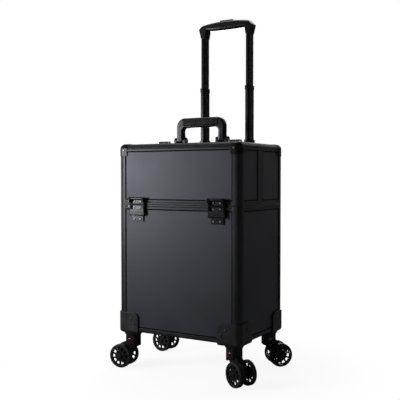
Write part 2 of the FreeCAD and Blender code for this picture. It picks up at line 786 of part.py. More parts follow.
def collar(name, stage, inner_stage, tube_top):
    """A moulded collar on a tube's upper end: a sleeve round it and a lip that guides the next stage."""
    half = "%s_tube_width / 2"
    deep = "%s_tube_depth / 2"
    bend = "%s_tube_round"
    skin = rounded_rectangle(span("tube_x", half % stage + " + collar_wall"),
                             span("tube_y", deep % stage + " + collar_wall"), bend % stage + " + collar_wall")
    seat = rounded_rectangle(span("tube_x", half % stage), span("tube_y", deep % stage), bend % stage)
    guide = rounded_rectangle(span("tube_x", half % inner_stage + " + tube_gap"),
                              span("tube_y", deep % inner_stage + " + tube_gap"),
                              bend % inner_stage + " + tube_gap")
    sleeve = prism(name + "_sleeve", "XY_Plane", [skin, seat], (tube_top + " - collar_sleeve", tube_top))[0]
    lip = prism(name + "_lip", "XY_Plane", [skin, guide], (tube_top, tube_top + " + collar_lip"))[0]
    return fuse(name, [sleeve, lip])


def trolley():
    """Fixed outer tubes with their brackets, and two sliding stages with their collars."""
    outer = tube("outer_tube", "outer", ("tube_foot", "outer_top"))
    node("trolley_outer_tubes", group("outer_tubes", both(outer)))
    outer_collar = collar("outer_collar", "outer", "lower", "outer_top")
    node("trolley_collars", group("outer_collars", both(outer_collar)))
    lower = tube("lower_tube", "lower", ("lower_top - lower_stage_length", "lower_top"))
    node("lower_stage_tubes", group("lower_tubes", both(lower)))
    lower_collar = collar("lower_collar", "lower", "upper", "lower_top")
    node("lower_stage_collars", group("lower_collars", both(lower_collar)))
    upper = tube("upper_tube", "upper", ("upper_low", "grip_low"))
    node("upper_stage_tubes", group("upper_tubes", both(upper)))
    seat = rounded_rectangle(span("tube_x", "outer_tube_width / 2"), span("tube_y", "outer_tube_depth / 2"),
                             "outer_tube_round")
    passage = prism("tube_passage", "XY_Plane", [seat], ("tube_foot", "outer_top"))[0]
    passages = group("tube_passages", both(passage))
    depth = ("rear - panel_inset", "clamp_back")
    across = ("-(clamp_out)", "clamp_out")
    clamp = rounded_block("clamp_block", across, depth, ("clamp_top - clamp_height", "clamp_top"),
                          ["left rear", "right rear"], "outer_tube_round")
    node("trolley_top_clamp", cut("top_clamp", clamp, passages))
    foot = rounded_block("foot_block", across, depth, ("foot_low", "foot_low + foot_height"),
                         ["left rear", "right rear"], "outer_tube_round")
    node("trolley_foot_bracket", cut("foot_bracket", foot, passages))


def pull_grip():
    """Arched pull grip plugged into the upper tubes, with a release button, a bar below it and two rods."""
    out = "(tube_x + upper_tube_width / 2)"
    inn = "(tube_x - upper_tube_width / 2)"
    shoulder = "(%s + leg_flare_out)" % out
    crest = "grip_end_top"
    waist = "grip_low + grip_waist"
    top_half = "(%s - grip_shoulder)" % shoulder
    top_bend = "(%s ^ 2 + grip_crown ^ 2) / (2 * grip_crown)" % top_half
    low_half = "(%s - leg_flare_in)" % inn
    low_bend = "(%s ^ 2 + grip_belly ^ 2) / (2 * grip_belly)" % low_half
    outline = [(inn, "grip_low"), (out, "grip_low"), (shoulder, crest + " - grip_shoulder"),
               (top_half, crest, top_bend), ("-" + top_half, crest),
               ("-" + shoulder, crest + " - grip_shoulder"), ("-" + out, "grip_low"), ("-" + inn, "grip_low"),
               ("-" + low_half, waist, low_bend), (low_half, waist)]
    body, pad = prism("grip_body", "XZ_Plane", [outline], span("tube_y", "grip_depth / 2"))
    arches = [name for name in edge_names(pad.Shape, ["front", "rear"])
              if pad.Shape.getElement(name).BoundBox.XLength > number("tube_x")]
    add_fillet(body, pad, arches, "grip_soft_edge")
    spigot = block("grip_spigot", span("tube_x", "upper_tube_width / 2 - tube_wall - spigot_gap"),
                   span("tube_y", "upper_tube_depth / 2 - tube_wall - upper_tube_round"),
                   ("grip_low - spigot_length", "grip_low"))
    passage = rod("rod_passage", "z", ("tube_x", "tube_y"), "rod_radius + rod_gap",
                  ("grip_low - spigot_length - cut_margin", "room_low"))
    bar_half = "tube_x + rod_radius"
    bar_y = span("tube_y", "release_bar_half_depth")
    room = block("bar_room", span("0", bar_half + " + release_room"),
                 span("tube_y", "release_bar_half_depth + release_room"), ("room_low", "bar_top"))
    shaft = block("button_shaft", span("0", "button_length / 2 + button_gap"),
                  span("tube_y", "button_depth / 2 + button_gap"),
                  ("bar_top - button_travel - release_room", "button_top + cut_margin"))
    tools = fuse("grip_tools", both(passage) + [room, shaft])
    node("pull_grip", cut("grip", fuse("grip_blank", [body] + both(spigot)), tools))
    button = rounded_block("button", span("0", "button_length / 2"), span("tube_y", "button_depth / 2"),
                           ("bar_top", "button_top"), ["left top", "right top", "front top", "rear top"],
                           "button_travel / 2")
    node("release_button", group("button_set", [button]))
    rods = both(rod("release_rod", "z", ("tube_x", "tube_y"), "rod_radius",
                    ("upper_low + rod_end_rise", "bar_top")))
    bar = block("release_bar", span("0", bar_half), bar_y, ("bar_low", "bar_top"))
    node("release_rods", fuse("release_frame", [bar] + rods))


# Casters

def caster_brackets():
    """Moulded corner brackets that wrap the lower corners and carry the kingpins."""
    low = "bottom - bracket_base"
    shell = rounded_block("bracket_shell", ("half_width - bracket_reach", "half_width + bracket_proud"),
                          ("front - bracket_proud", "front + bracket_reach"),
                          (low, "bottom + bracket_height"), ["right front"], "edge_round + bracket_proud")
    doc.recompute()
    add_fillet(shell, shell.Tip, edge_names(shell.Tip.Shape, ["left top", "rear top"]), "bracket_round")
    doc.recompute()
    add_fillet(shell, shell.Tip, edge_names(shell.Tip.Shape, ["right bottom", "front bottom"]),
               "bracket_foot_round")
    core = rounded_block("bracket_core", ("half_width - bracket_reach - cut_margin", "half_width"),
                         ("front", "front + bracket_reach + cut_margin"),
                         ("bottom", "bottom + bracket_height + cut_margin"), ["right front"], "edge_round")
    centre = ("stem_x", "-(stem_y)")
    flare = cone("bracket_flare", centre, "collar_radius", "collar_radius + collar_flare",
                 ("collar_low + collar_flare / 2", low))
    neck = rod("bracket_neck", "z", centre, "collar_radius", ("collar_low", "bottom"))
    bore = rod("bracket_bore", "z", centre, "kingpin_radius + pin_fit", ("collar_low - cut_margin",
                                                                        "collar_low + kingpin_grip"))
    solid = fuse("bracket_solid", [cut("bracket_hollow", shell, core), flare, neck])
    bracket = cut("bracket", solid, bore)
    left = mirrored(bracket)
    node("front_right_caster_bracket", group("front_right_bracket", [bracket]))
    node("front_left_caster_bracket", group("front_left_bracket", [left]))
    node("rear_right_caster_bracket", group("rear_right_bracket", [mirrored(bracket, "y")]))
    node("rear_left_caster_bracket", group("rear_left_bracket", [mirrored(left, "y")]))


def place_on_stem(piece, heading, sides):
    """Turn a caster's piece to its heading and set it on its stem."""
    piece.Placement = Placement(Vector(), Rotation(Vector(0, 0, 1), 1))
    piece.setExpression("Placement.Rotation.Angle", formula(heading))
    piece.setExpression("Placement.Base.x", formula("%d * (stem_x)" % sides[0]))
    piece.setExpression("Placement.Base.y", formula("%d * (stem_y)" % sides[1]))
    return piece


def caster_housing(name):
    """Swivel housing with its kingpin and axle; the trail runs along +X from the stem."""
    half = "housing_width / 2"
    head = rounded_block(name + "_head", span("0", "housing_length / 2"), span("0", half),
                         ("housing_low", "housing_top"),
                         ["left front", "left rear", "right front", "right rear"], "housing_round")
    back = "-housing_length / 2"
    lip = rounded_block(name + "_lip", (back, back + " + lip_length"), span("0", half),
                        ("housing_low - lip_drop", "housing_low + lip_drop"), ["left front", "left rear"],
                        "housing_round")
    web_half = "wheel_gap / 2 - web_clearance"
    outline = [("-web_half_length", "housing_low"),
               ("caster_trail - web_half_length", "axle_height - web_drop"),
               ("caster_trail + web_half_length", "axle_height - web_drop"),
               ("caster_trail + web_half_length", "axle_height + web_drop"),
               ("housing_length / 2", "housing_low + housing_round"),
               ("-web_half_length", "housing_low + housing_round")]
    web = prism(name + "_web", "XZ_Plane", [outline], ("-(%s)" % web_half, web_half))[0]
    centre = ("caster_trail", "axle_height")
    axle = fuse(name + "_axle", [
        rod(name + "_axle_bar", "y", centre, "axle_radius", ("-(axle_half)", "axle_half")),
        rod(name + "_axle_right", "y", centre, "axle_head_radius",
            ("-(axle_half) - axle_head", "-(axle_half)")),
        rod(name + "_axle_left", "y", centre, "axle_head_radius", ("axle_half", "axle_half + axle_head"))])
    kingpin = rod(name + "_kingpin", "z", ("0", "0"), "kingpin_radius",
                  ("housing_top - housing_height / 2", "collar_low + kingpin_grip - swivel_gap"))
    body = cut(name + "_bored", fuse(name + "_body", [head, lip, web]), group(name + "_pins", [axle, kingpin]))
    return group(name, [body, axle, kingpin])


def wheel(name, inner, outer):
    """A spoked wheel between two places along the axle: hub with windows, and a moulded tyre."""
    middle = "((%s) + (%s)) / 2" % (inner, outer)
    low = "%s - wheel_width / 2" % middle
    high = "%s + wheel_width / 2" % middle
    bore = "axle_radius + pin_fit"
    rim = "hub_radius - hub_rim"
    web = (middle + " - hub_web / 2", middle + " + hub_web / 2")
    hub = doc.addObject("PartDesign::Body", name + "_hub")
    sketch = sketch_on(hub, "XY_Plane", "0")
    draw_outline(sketch, [(bore, low), ("hub_boss_radius", low), ("hub_boss_radius", web[0]), (rim, web[0]),
                          (rim, low), ("hub_radius", low), ("hub_radius", high), (rim, high), (rim, web[1]),
                          ("hub_boss_radius", web[1]), ("hub_boss_radius", high), (bore, high)])
    spin = hub.newObject("PartDesign::Revolution", name + "_spin")
    spin.Profile = sketch
    spin.ReferenceAxis = (sketch, ["V_Axis"])
    doc.recompute()
    window = sketch_on(hub, "XZ_Plane", web[1])
    circle = window.addGeometry(Part.Circle(Vector(number("window_ring"), 0, 0), Vector(0, 0, 1),
                                            number("window_radius")))
    rule = window.addConstraint(Sketcher.Constraint("Radius", circle, number("window_radius")))
    window.setExpression("Constraints[%d]" % rule, formula("window_radius"))
    pin_point(window, circle, 3, "window_ring", "0")
    hole = hub.newObject("PartDesign::Pocket", name + "_window")
    hole.Profile = window
    hole.Type = "ThroughAll"
    hole.Midplane = True
    doc.recompute()
    ring = hub.newObject("PartDesign::PolarPattern", name + "_windows")
    ring.Originals = [hole]
    ring.Axis = (window, ["N_Axis"])
    ring.Angle = 360
    ring.setExpression("Occurrences", formula("hub_windows"))
    hub.Tip = ring
    tyre = doc.addObject("PartDesign::Body", name + "_tyre")
    tread = sketch_on(tyre, "XY_Plane", "0")
    draw_outline(tread, [("hub_radius", low), ("wheel_radius - tyre_round", low, "tyre_round"),
                         ("wheel_radius", low + " + tyre_round"),
                         ("wheel_radius", high + " - tyre_round", "tyre_round"),
                         ("wheel_radius - tyre_round", high), ("hub_radius", high)])
    roll = tyre.newObject("PartDesign::Revolution", name + "_roll")
    roll.Profile = tread
    roll.ReferenceAxis = (tread, ["V_Axis"])
    for part in (hub, tyre):
        part.setExpression("Placement.Base.x", formula("caster_trail"))
        part.setExpression("Placement.Base.z", formula("axle_height"))
    return group(name, [hub, tyre])


CASTERS = {"front_left": (-1, -1), "front_right": (1, -1), "rear_left": (-1, 1), "rear_right": (1, 1)}


def casters():
    """Four swivel casters, each a housing with its pins and two wheels that turn by themselves."""
    for corner, sides in CASTERS.items():
        heading = corner + "_heading"
        pieces = {"caster_housing": caster_housing(corner + "_housing"),
                  "port_wheel": wheel(corner + "_port", "wheel_in", "wheel_out"),
                  "starboard_wheel": wheel(corner + "_starboard", "-(wheel_out)", "-(wheel_in)")}
        for kind, piece in pieces.items():
            node("%s_%s" % (corner, kind), place_on_stem(piece, heading, sides))


# Tray inside

def tray():
    """A lift-out tray with cells, which stands on two ledge bars inside the box."""
    length = ("-(tray_x)", "tray_x")
    outside = block("tray_block", length, ("tray_front", "tray_rear"), ("tray_low", "tray_top"))
    cells = []
    count = int(SIZES["tray_cells"])
    pitch = "((2 * tray_x - tray_wall) / tray_cells)"
    for index in range(count):
        left = "(-(tray_x) + tray_wall + %d * %s)" % (index, pitch)
        cells.append(block("tray_cell_%d" % index, (left, "%s + %s - tray_wall" % (left, pitch)),
                           ("tray_front + tray_wall", "tray_rear - tray_wall"),
                           ("tray_low + tray_wall", "tray_top + cut_margin")))
    node("lift_out_tray", cut("tray", outside, group("tray_cells_set", cells)))
    ledge = block("tray_ledge", ("tray_x - ledge_overlap", "half_width - panel_in"),
                  ("tray_front", "tray_rear"), ("tray_low - ledge_bar", "tray_low"))
    node("tray_ledges", group("tray_ledge_pair", both(ledge)))


def check_and_write():
    """Stop on any failed object or bad shape, then write one file per sub-part."""
    doc.recompute()
    for item in doc.Objects:
        if "Invalid" in item.State or "Error" in item.State:
            raise RuntimeError("%s failed: %s" % (item.Name, item.State))
    for piece in nodes:
        shape = piece.Shape
        if shape.isNull() or not shape.isValid() or not shape.Solids:
            raise RuntimeError("%s has no valid solid" % piece.Label)
    os.makedirs("parts", exist_ok=True)
    for piece in nodes:
        piece.Shape.exportStep("parts/%s.step" % piece.Label)
    print("%d sub-parts written" % len(nodes))


def main():
    """Build every sub-part and write it."""
    fill_sheet()
    lower_box()
    upper_half("hood", REAR_SKIN, REAR_RAIL, "rear", ("seam_y", "seam_y + seam_rail"),
               ("seam_y + seam_rail", "rear - rail"), "seam")
    upper_half("lid", FRONT_SKIN, FRONT_RAIL, "front", ("lid_rear - seam_rail", "lid_rear"),
               ("front + rail", "lid_rear - seam_rail"), "lid_low")
    corner_caps()
    hinges()
    latches()
    rivets()
    carry_handle()
    trolley()
    pull_grip()
    caster_brackets()
    casters()
    tray()
    check_and_write()


main()
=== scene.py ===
"""Looks of a rolling makeup train case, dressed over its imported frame.

Metres, +Z up, +X to the right, +Y to the rear, with the origin on the floor.
"""
import json
import logging
import math
from dataclasses import dataclass
from enum import Enum
from typing import Any, Callable, Iterable, Optional, Sequence, Union

import bmesh
import bpy
from mathutils import Euler, Matrix, Vector
from mathutils.bvhtree import BVHTree


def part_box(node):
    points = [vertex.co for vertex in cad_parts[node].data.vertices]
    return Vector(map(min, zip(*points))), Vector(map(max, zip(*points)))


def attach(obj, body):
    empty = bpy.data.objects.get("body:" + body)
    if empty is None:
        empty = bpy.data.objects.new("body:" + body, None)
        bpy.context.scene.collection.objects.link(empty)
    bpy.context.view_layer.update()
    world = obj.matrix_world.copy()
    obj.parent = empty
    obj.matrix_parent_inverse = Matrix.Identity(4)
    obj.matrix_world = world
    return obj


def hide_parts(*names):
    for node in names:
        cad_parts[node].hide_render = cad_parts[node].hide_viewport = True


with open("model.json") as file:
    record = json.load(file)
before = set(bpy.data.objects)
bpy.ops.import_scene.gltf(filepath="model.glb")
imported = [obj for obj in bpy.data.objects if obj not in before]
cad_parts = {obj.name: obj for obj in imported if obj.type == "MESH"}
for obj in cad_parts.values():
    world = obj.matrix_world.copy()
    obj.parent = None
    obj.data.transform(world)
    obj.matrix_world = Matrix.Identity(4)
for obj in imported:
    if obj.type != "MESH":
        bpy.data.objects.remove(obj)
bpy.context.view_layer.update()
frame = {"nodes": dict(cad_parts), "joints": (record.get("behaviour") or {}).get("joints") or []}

LOG = logging.getLogger("makeup_case")
Piece = bpy.types.Object
Triple = Sequence[float]
Test = Callable[[Vector, Vector], bool]

# How far a panel reaches into its rails, and half of its thickness
PANEL_TONGUE = 0.005
PANEL_HALF = 0.0025
# How far in from the outer faces the drawn lines of a corner post reach
POST_REACH = 0.02
# How far a cutting tool stands out of the face that it cuts, and past the ends of a piece
TOOL_PROUD = 0.002
TOOL_OVERRUN = 0.01
# Points nearer than the first are merged, and places nearer than the second count as the same
WELD = 2e-6
NEAR = 1e-5
# Least part of a normal or direction along an axis to count as along it, and as straight along it
LOOKS = 0.9
STRAIGHT = 0.99
# Most part of an edge's direction along an axis to count as square to it
SQUARE = 1e-3


class Axis(Enum):
    """An axis of the shared frame."""

    X = 0
    Y = 1
    Z = 2


class Side(Enum):
    """One side of the case, by the sign of its X or Y."""

    LOW = -1
    HIGH = 1


SIGNS = tuple(side.value for side in Side)


class Body(str, Enum):
    """The moving bodies that pieces ride on."""

    CASE = "case"
    LID = "front_lid"
    LEFT_LATCH = "left_latch"
    RIGHT_LATCH = "right_latch"
    HANDLE = "carry_handle"
    LOWER_STAGE = "lower_stage"
    UPPER_STAGE = "upper_stage"
    RELEASE = "release"
    TRAY = "tray"


# Shader building


class Wire:
    """One value in a shader; arithmetic on it adds Math nodes."""

    def __init__(self, graph: "Graph", socket: bpy.types.NodeSocket) -> None:
        """Keep the graph and the output socket that the value comes from."""
        self.graph = graph
        self.socket = socket

    def _math(self, operation: str, first: Any, second: Any = None) -> "Wire":
        """Add a Math node.

        Args:
            operation: name of the operation, such as ADD.
            first: value or number for the first input.
            second: value or number for the second input, if it has one.

        Returns:
            The node's result.
        """
        values = {0: first} if second is None else {0: first, 1: second}
        return self.graph.add("ShaderNodeMath", {"operation": operation}, values)

    def __add__(self, other: Any) -> "Wire":
        """Sum."""
        return self._math("ADD", self, other)

    __radd__ = __add__

    def __sub__(self, other: Any) -> "Wire":
        """Difference."""
        return self._math("SUBTRACT", self, other)

    def __rsub__(self, other: Any) -> "Wire":
        """Difference, from a number."""
        return self._math("SUBTRACT", other, self)

    def __mul__(self, other: Any) -> "Wire":
        """Product."""
        return self._math("MULTIPLY", self, other)

    __rmul__ = __mul__

    def __lt__(self, other: Any) -> "Wire":
        """1 where the value is below the other, else 0."""
        return self._math("LESS_THAN", self, other)

    def __gt__(self, other: Any) -> "Wire":
        """1 where the value is above the other, else 0."""
        return self._math("GREATER_THAN", self, other)

    def __abs__(self) -> "Wire":
        """Size without its sign."""
        return self._math("ABSOLUTE", self)


class Graph:
    """The node tree of one material or world."""

    def __init__(self, owner: Union[bpy.types.Material, bpy.types.World]) -> None:
        """Empty a node tree, to build in it.

        Args:
            owner: the material or world that it belongs to.
        """
        owner.use_nodes = True
        self.owner = owner
        self.tree = owner.node_tree
        self.tree.nodes.clear()

    def add(self, kind: str, settings: Optional[dict] = None, inputs: Optional[dict] = None,
            out: Union[int, str] = 0) -> Wire:
        """Add a node.

        Args:
            kind: Blender's name of the node type.
            settings: properties of the node, or stops for a colour ramp, set first.
            inputs: values or links by the input's name or number.
            out: the output to return.

        Returns:
            That output as a value.
        """
        node = self.tree.nodes.new(kind)
        for key, value in (settings or {}).items():
            if key != "stops":
                setattr(node, key, value)
                continue
            while len(node.color_ramp.elements) < len(value):
                node.color_ramp.elements.new(0.5)
            for element, (place, colour) in zip(node.color_ramp.elements, value):
                element.position = place
                element.color = colour
        for key, value in (inputs or {}).items():
            if isinstance(value, Wire):
                self.tree.links.new(value.socket, node.inputs[key])
            else:
                node.inputs[key].default_value = value
        return Wire(self, node.outputs[out] if len(node.outputs) else None)

    def close(self, shader: Wire) -> Any:
        """Lead a shader to the output.

        Args:
            shader: the shader.

        Returns:
            The material or world.
        """
        kind = "World" if isinstance(self.owner, bpy.types.World) else "Material"
        self.add("ShaderNodeOutput" + kind, inputs={"Surface": shader})
        return self.owner

    def surface(self, **values: Any) -> Wire:
        """A Principled shader with these sockets, named with _ for a space."""
        return self.add("ShaderNodeBsdfPrincipled",
                        inputs={key.replace("_", " "): value for key, value in values.items()})

    def dress(self, **values: Any) -> bpy.types.Material:
        """Lead a Principled shader with these sockets to the output and return the material."""
        return self.close(self.surface(**values))

    def background_ray(self) -> Wire:
        """Tell the rays that show the background: to the camera, in reflections and through glass.

        Returns:
            1 for such a ray, else 0.
        """
        seen = self.add("ShaderNodeLightPath", out="Is Camera Ray")
        for ray in ("Is Glossy Ray", "Is Transmission Ray"):
            seen = self.add("ShaderNodeMath", {"operation": "MAXIMUM"},
                            {0: seen, 1: self.add("ShaderNodeLightPath", out=ray)})
        return seen

    def place(self) -> Wire:
        """The point on the object, in metres."""
        return self.add("ShaderNodeTexCoord", out="Object")

    def split(self, vector: Wire) -> tuple[Wire, Wire, Wire]:
        """Split a vector.

        Args:
            vector: the vector.

        Returns:
            Its three numbers.
        """
        first = self.add("ShaderNodeSeparateXYZ", inputs={0: vector})
        outputs = first.socket.node.outputs
        return first, Wire(self, outputs[1]), Wire(self, outputs[2])

    def noise(self, scale: float, detail: float = 2.0, rough: float = 0.5,
              stretch: Triple = (1, 1, 1)) -> Wire:
        """Soft noise from 0 to 1.

        Args:
            scale: how many features there are in a metre.
            detail: octaves.
            rough: strength of the fine octaves.
            stretch: factors on the three axes.

        Returns:
            The noise.
        """
        place = self.add("ShaderNodeMapping", inputs={"Vector": self.place(), "Scale": stretch})
        return self.add("ShaderNodeTexNoise", inputs={"Vector": place, "Scale": scale, "Detail": detail,
                                                      "Roughness": rough})

    def cells(self, scale: float) -> Wire:
        """Distance to the nearest of many scattered points, as in a pebbled skin."""
        return self.add("ShaderNodeTexVoronoi", {"feature": "SMOOTH_F1"},
                        {"Vector": self.place(), "Scale": scale, "Smoothness": 0.6})

    def remap(self, value: Wire, low: float, high: float, to_low: float, to_high: float) -> Wire:
        """Move a value smoothly from one range to another, held at its ends."""
        return self.add("ShaderNodeMapRange", {"interpolation_type": "SMOOTHSTEP", "clamp": True},
                        {"Value": value, "From Min": low, "From Max": high, "To Min": to_low,
                         "To Max": to_high})

    def blend(self, factor: Any, first: Any, second: Any) -> Wire:
        """Mix two colours.

        Args:
            factor: 0 gives the first colour and 1 the second.
            first: a colour or a link.
            second: a colour or a link.

        Returns:
            The mixed colour.
        """
        return self.add("ShaderNodeMix", {"data_type": "RGBA"}, {0: factor, 6: first, 7: second}, 2)

    def tones(self, noise: Wire, grey: float, spread: tuple[float, float], tint: float,
              ends: tuple[float, float] = (0.3, 0.7)) -> Wire:
        """A grey that drifts between a darker and a paler shade.

        Args:
            noise: the noise that it follows.
            grey: the grey.
            spread: factors on the grey for its darkest and palest shade.
            tint: how much blue it has.
            ends: values of the noise at which these two shades are reached.

        Returns:
            The colour.
        """
        dark, pale = (shade(grey * factor, tint) for factor in spread)
        return self.blend(self.remap(noise, *ends, 0.0, 1.0), dark, pale)

    def bump(self, height: Wire, depth: float, strength: float) -> Wire:
        """Tilt the surface by a height, of which 1 stands for a depth in metres."""
        return self.add("ShaderNodeBump", inputs={"Height": height, "Distance": depth, "Strength": strength})


def shade(grey: float, tint: float = 0.0) -> tuple[float, float, float, float]:
    """A grey with a little blue in it, as a colour."""
    return (grey, grey * (1 + tint * 0.1), grey * (1 + tint), 1.0)


# Finishes


# Tints of the reflections on the skin, on the rails and on the other black finishes
SKIN_TINT = (0.85, 0.86, 1.0, 1.0)
RAIL_TINT = (0.90, 0.90, 1.0, 1.0)
BLACK_TINT = (0.91, 0.92, 1.0, 1.0)


class Finish:
    """A finish whose material is made once and shared by the pieces that have it."""

    made: dict[str, bpy.types.Material] = {}
    name: str

    def material(self) -> bpy.types.Material:
        """Make the material the first time that it is asked for.

        Returns:
            The finish's material.
        """
        if self.name not in Finish.made:
            Finish.made[self.name] = self.make(Graph(bpy.data.materials.new(self.name)))
        return Finish.made[self.name]

    def make(self, graph: Graph) -> bpy.types.Material:
        """Build the material in an empty graph."""
        raise NotImplementedError


@dataclass(frozen=True)
class Laminate(Finish):
    """Pebbled black skin outside, with a woven grey lining on the faces inside the case."""

    name: str = "pebbled_laminate"
    grey: float = 0.011
    tint: float = 0.34
    sheen: float = 0.275
    pebbles: float = 1100.0
    pebble_depth: float = 0.00010
    flecks: float = 2600.0
    fleck_tint: float = 0.26
    lining: float = 0.05
    lining_tint: float = 0.05
    threads: float = 420.0
    inner_x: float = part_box("lower_side_panels")[1].x - PANEL_HALF
    inner_y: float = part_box("lower_rear_panel")[1].y - PANEL_HALF
    inner_top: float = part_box("lid_top_panel")[1].z - PANEL_HALF
    inner_floor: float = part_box("base_panel")[0].z + PANEL_HALF

    def make(self, graph: Graph) -> bpy.types.Material:
        """Build the skin and the lining, told apart by where the face lies.

        Args:
            graph: the material's empty graph.

        Returns:
            The material.
        """
        x, y, z = graph.split(graph.place())
        between = (abs(x) < self.inner_x) * (abs(y) < self.inner_y)
        inside = between * (z < self.inner_top) * (z > self.inner_floor)
        skin = graph.cells(self.pebbles)
        drift = graph.noise(9.0, 3.0)
        fleck = graph.remap(graph.noise(self.flecks, 1.0), 0.55, 0.8, 0.0, 0.35)
        colour = graph.tones(drift, self.grey, (0.88, 1.12), self.tint)
        colour = graph.blend(fleck, colour, shade(self.grey * 1.9, self.fleck_tint))
        weave = graph.add("ShaderNodeTexWave", {"wave_type": "BANDS", "bands_direction": "DIAGONAL"},
                          {"Vector": graph.place(), "Scale": self.threads, "Distortion": 0.6})
        cloth = graph.blend(weave, shade(self.lining * 0.7, self.lining_tint),
                            shade(self.lining * 1.2, self.lining_tint))
        colour = graph.blend(inside, colour, cloth)
        height = skin * (1 - inside) + weave * inside
        rough = graph.remap(drift, 0.2, 0.8, 0.46, 0.52) + inside * 0.4
        normal = graph.bump(height, self.pebble_depth, 0.45)
        return graph.dress(Base_Color=colour, Roughness=rough, Normal=normal, Specular_IOR_Level=self.sheen,
                           Specular_Tint=SKIN_TINT)


@dataclass(frozen=True)
class Extrusion(Finish):
    """Black anodised rail with fine drawn lines along it."""

    name: str = "anodised_rail"
    grey: float = 0.009
    tint: float = 0.12
    sheen: float = 0.17
    lines: float = 900.0
    line_depth: float = 0.00001
    drawn_out: float = 0.02
    side_x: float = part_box("lower_corner_posts")[1].x - POST_REACH
    side_y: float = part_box("lower_corner_posts")[1].y - POST_REACH

    def make(self, graph: Graph) -> bpy.types.Material:
        """Build the rail's colour, and drawn lines up the posts and along the other rails.

        Args:
            graph: the material's empty graph.

        Returns:
            The material.
        """
        x, y, _ = graph.split(graph.place())
        side = abs(x) > self.side_x
        post = side * (abs(y) > self.side_y)
        drawn = (graph.noise(self.lines, stretch=(1, 1, self.drawn_out)) * post
                 + graph.noise(self.lines, stretch=(1, self.drawn_out, 1)) * (side - post)
                 + graph.noise(self.lines, stretch=(self.drawn_out, 1, 1)) * (1 - side))
        smudge = graph.noise(28.0, 3.0)
        colour = graph.tones(smudge, self.grey, (0.85, 1.2), self.tint, (0.3, 0.75))
        rough = graph.remap(drawn, 0.3, 0.7, 0.38, 0.42) + graph.remap(smudge, 0.4, 0.8, 0.0, 0.05)
        normal = graph.bump(drawn, self.line_depth, 0.3)
        return graph.dress(Base_Color=colour, Roughness=rough, Normal=normal, Specular_IOR_Level=self.sheen,
                           Specular_Tint=RAIL_TINT)


@dataclass(frozen=True)
class Moulded(Finish):
    """Moulded black plastic with an even spark texture and a few pale scuffs."""

    name: str
    grey: float
    grain: float
    depth: float
    rough: float
    scuff: float
    sheen: float
    tint: float = 0.06

    def make(self, graph: Graph) -> bpy.types.Material:
        """Build the grain, the uneven sheen and the scuffs.

        Args:
            graph: the material's empty graph.

        Returns:
            The material.
        """
        grain = graph.noise(self.grain, 2.0, 0.6)
        cloud = graph.noise(35.0, 4.0, 0.6)
        rubs = graph.noise(160.0, 3.0, 0.7, (1, 1, 0.25))
        worn = graph.remap(cloud, 0.52, 0.72, 0.0, 1.0) * graph.remap(rubs, 0.58, 0.72, 0.0, self.scuff)
        colour = graph.tones(cloud, self.grey, (0.82, 1.22), self.tint)
        colour = graph.blend(worn, colour, shade(self.grey * 4.5, self.tint / 2))
        rough = graph.remap(cloud, 0.25, 0.75, self.rough - 0.05, self.rough + 0.06) + worn * 0.3
        normal = graph.bump(grain, self.depth, 0.5)
        return graph.dress(Base_Color=colour, Roughness=rough, Normal=normal, Specular_IOR_Level=self.sheen,
                           Specular_Tint=BLACK_TINT)


@dataclass(frozen=True)
class Plated(Finish):
    """Steel under a plating, with drawn streaks and small rubbed spots."""

    name: str
    grey: float
    bright: float
    rough: float
    metal: float
    tint: float = 0.06
    streak_depth: float = 0.00002

    def make(self, graph: Graph) -> bpy.types.Material:
        """Build the plating, with paler metal where it is rubbed.

        Args:
            graph: the material's empty graph.

        Returns:
            The material.
        """
        streak = graph.noise(1500.0, 2.0, stretch=(0.06, 1, 1))
        cloud = graph.noise(60.0, 4.0, 0.65)
        rubbed = graph.remap(cloud, 0.60, 0.78, 0.0, 0.5)
        colour = graph.tones(streak, self.grey, (0.85, 1.15), self.tint)
        colour = graph.blend(rubbed, colour, shade(self.bright, self.tint / 2))
        rough = graph.remap(streak, 0.2, 0.8, self.rough - 0.05, self.rough + 0.07) + rubbed * 0.1
        normal = graph.bump(streak, self.streak_depth, 0.4)
        return graph.dress(Base_Color=colour, Roughness=rough, Metallic=self.metal, Normal=normal)


@dataclass(frozen=True)
class Tube(Finish):
    """Black anodised trolley tube, drawn along its length, with faint slide marks."""

    name: str = "trolley_tube"
    grey: float = 0.004
    tint: float = 0.05
    rubbed_tint: float = 0.04
    sheen: float = 0.14
    lines: float = 2200.0
    line_depth: float = 0.00001
    drawn_out: float = 0.008

    def make(self, graph: Graph) -> bpy.types.Material:
        """Build the lines along the tube and the rubbed marks of the sliding stages.

        Args:
            graph: the material's empty graph.

        Returns:
            The material.
        """
        lines = graph.noise(self.lines, 2.0, 0.6, (1, 1, self.drawn_out))
        cloud = graph.noise(18.0, 3.0)
        rubbed = graph.remap(lines, 0.62, 0.78, 0.0, 0.35) * graph.remap(cloud, 0.45, 0.65, 0.0, 1.0)
        colour = graph.tones(cloud, self.grey, (0.85, 1.2), self.tint)
        colour = graph.blend(rubbed, colour, shade(self.grey * 5, self.rubbed_tint))
        rough = graph.remap(lines, 0.3, 0.7, 0.22, 0.30)
        normal = graph.bump(lines, self.line_depth, 0.3)
        return graph.dress(Base_Color=colour, Roughness=rough, Normal=normal, Specular_IOR_Level=self.sheen,
                           Specular_Tint=BLACK_TINT)


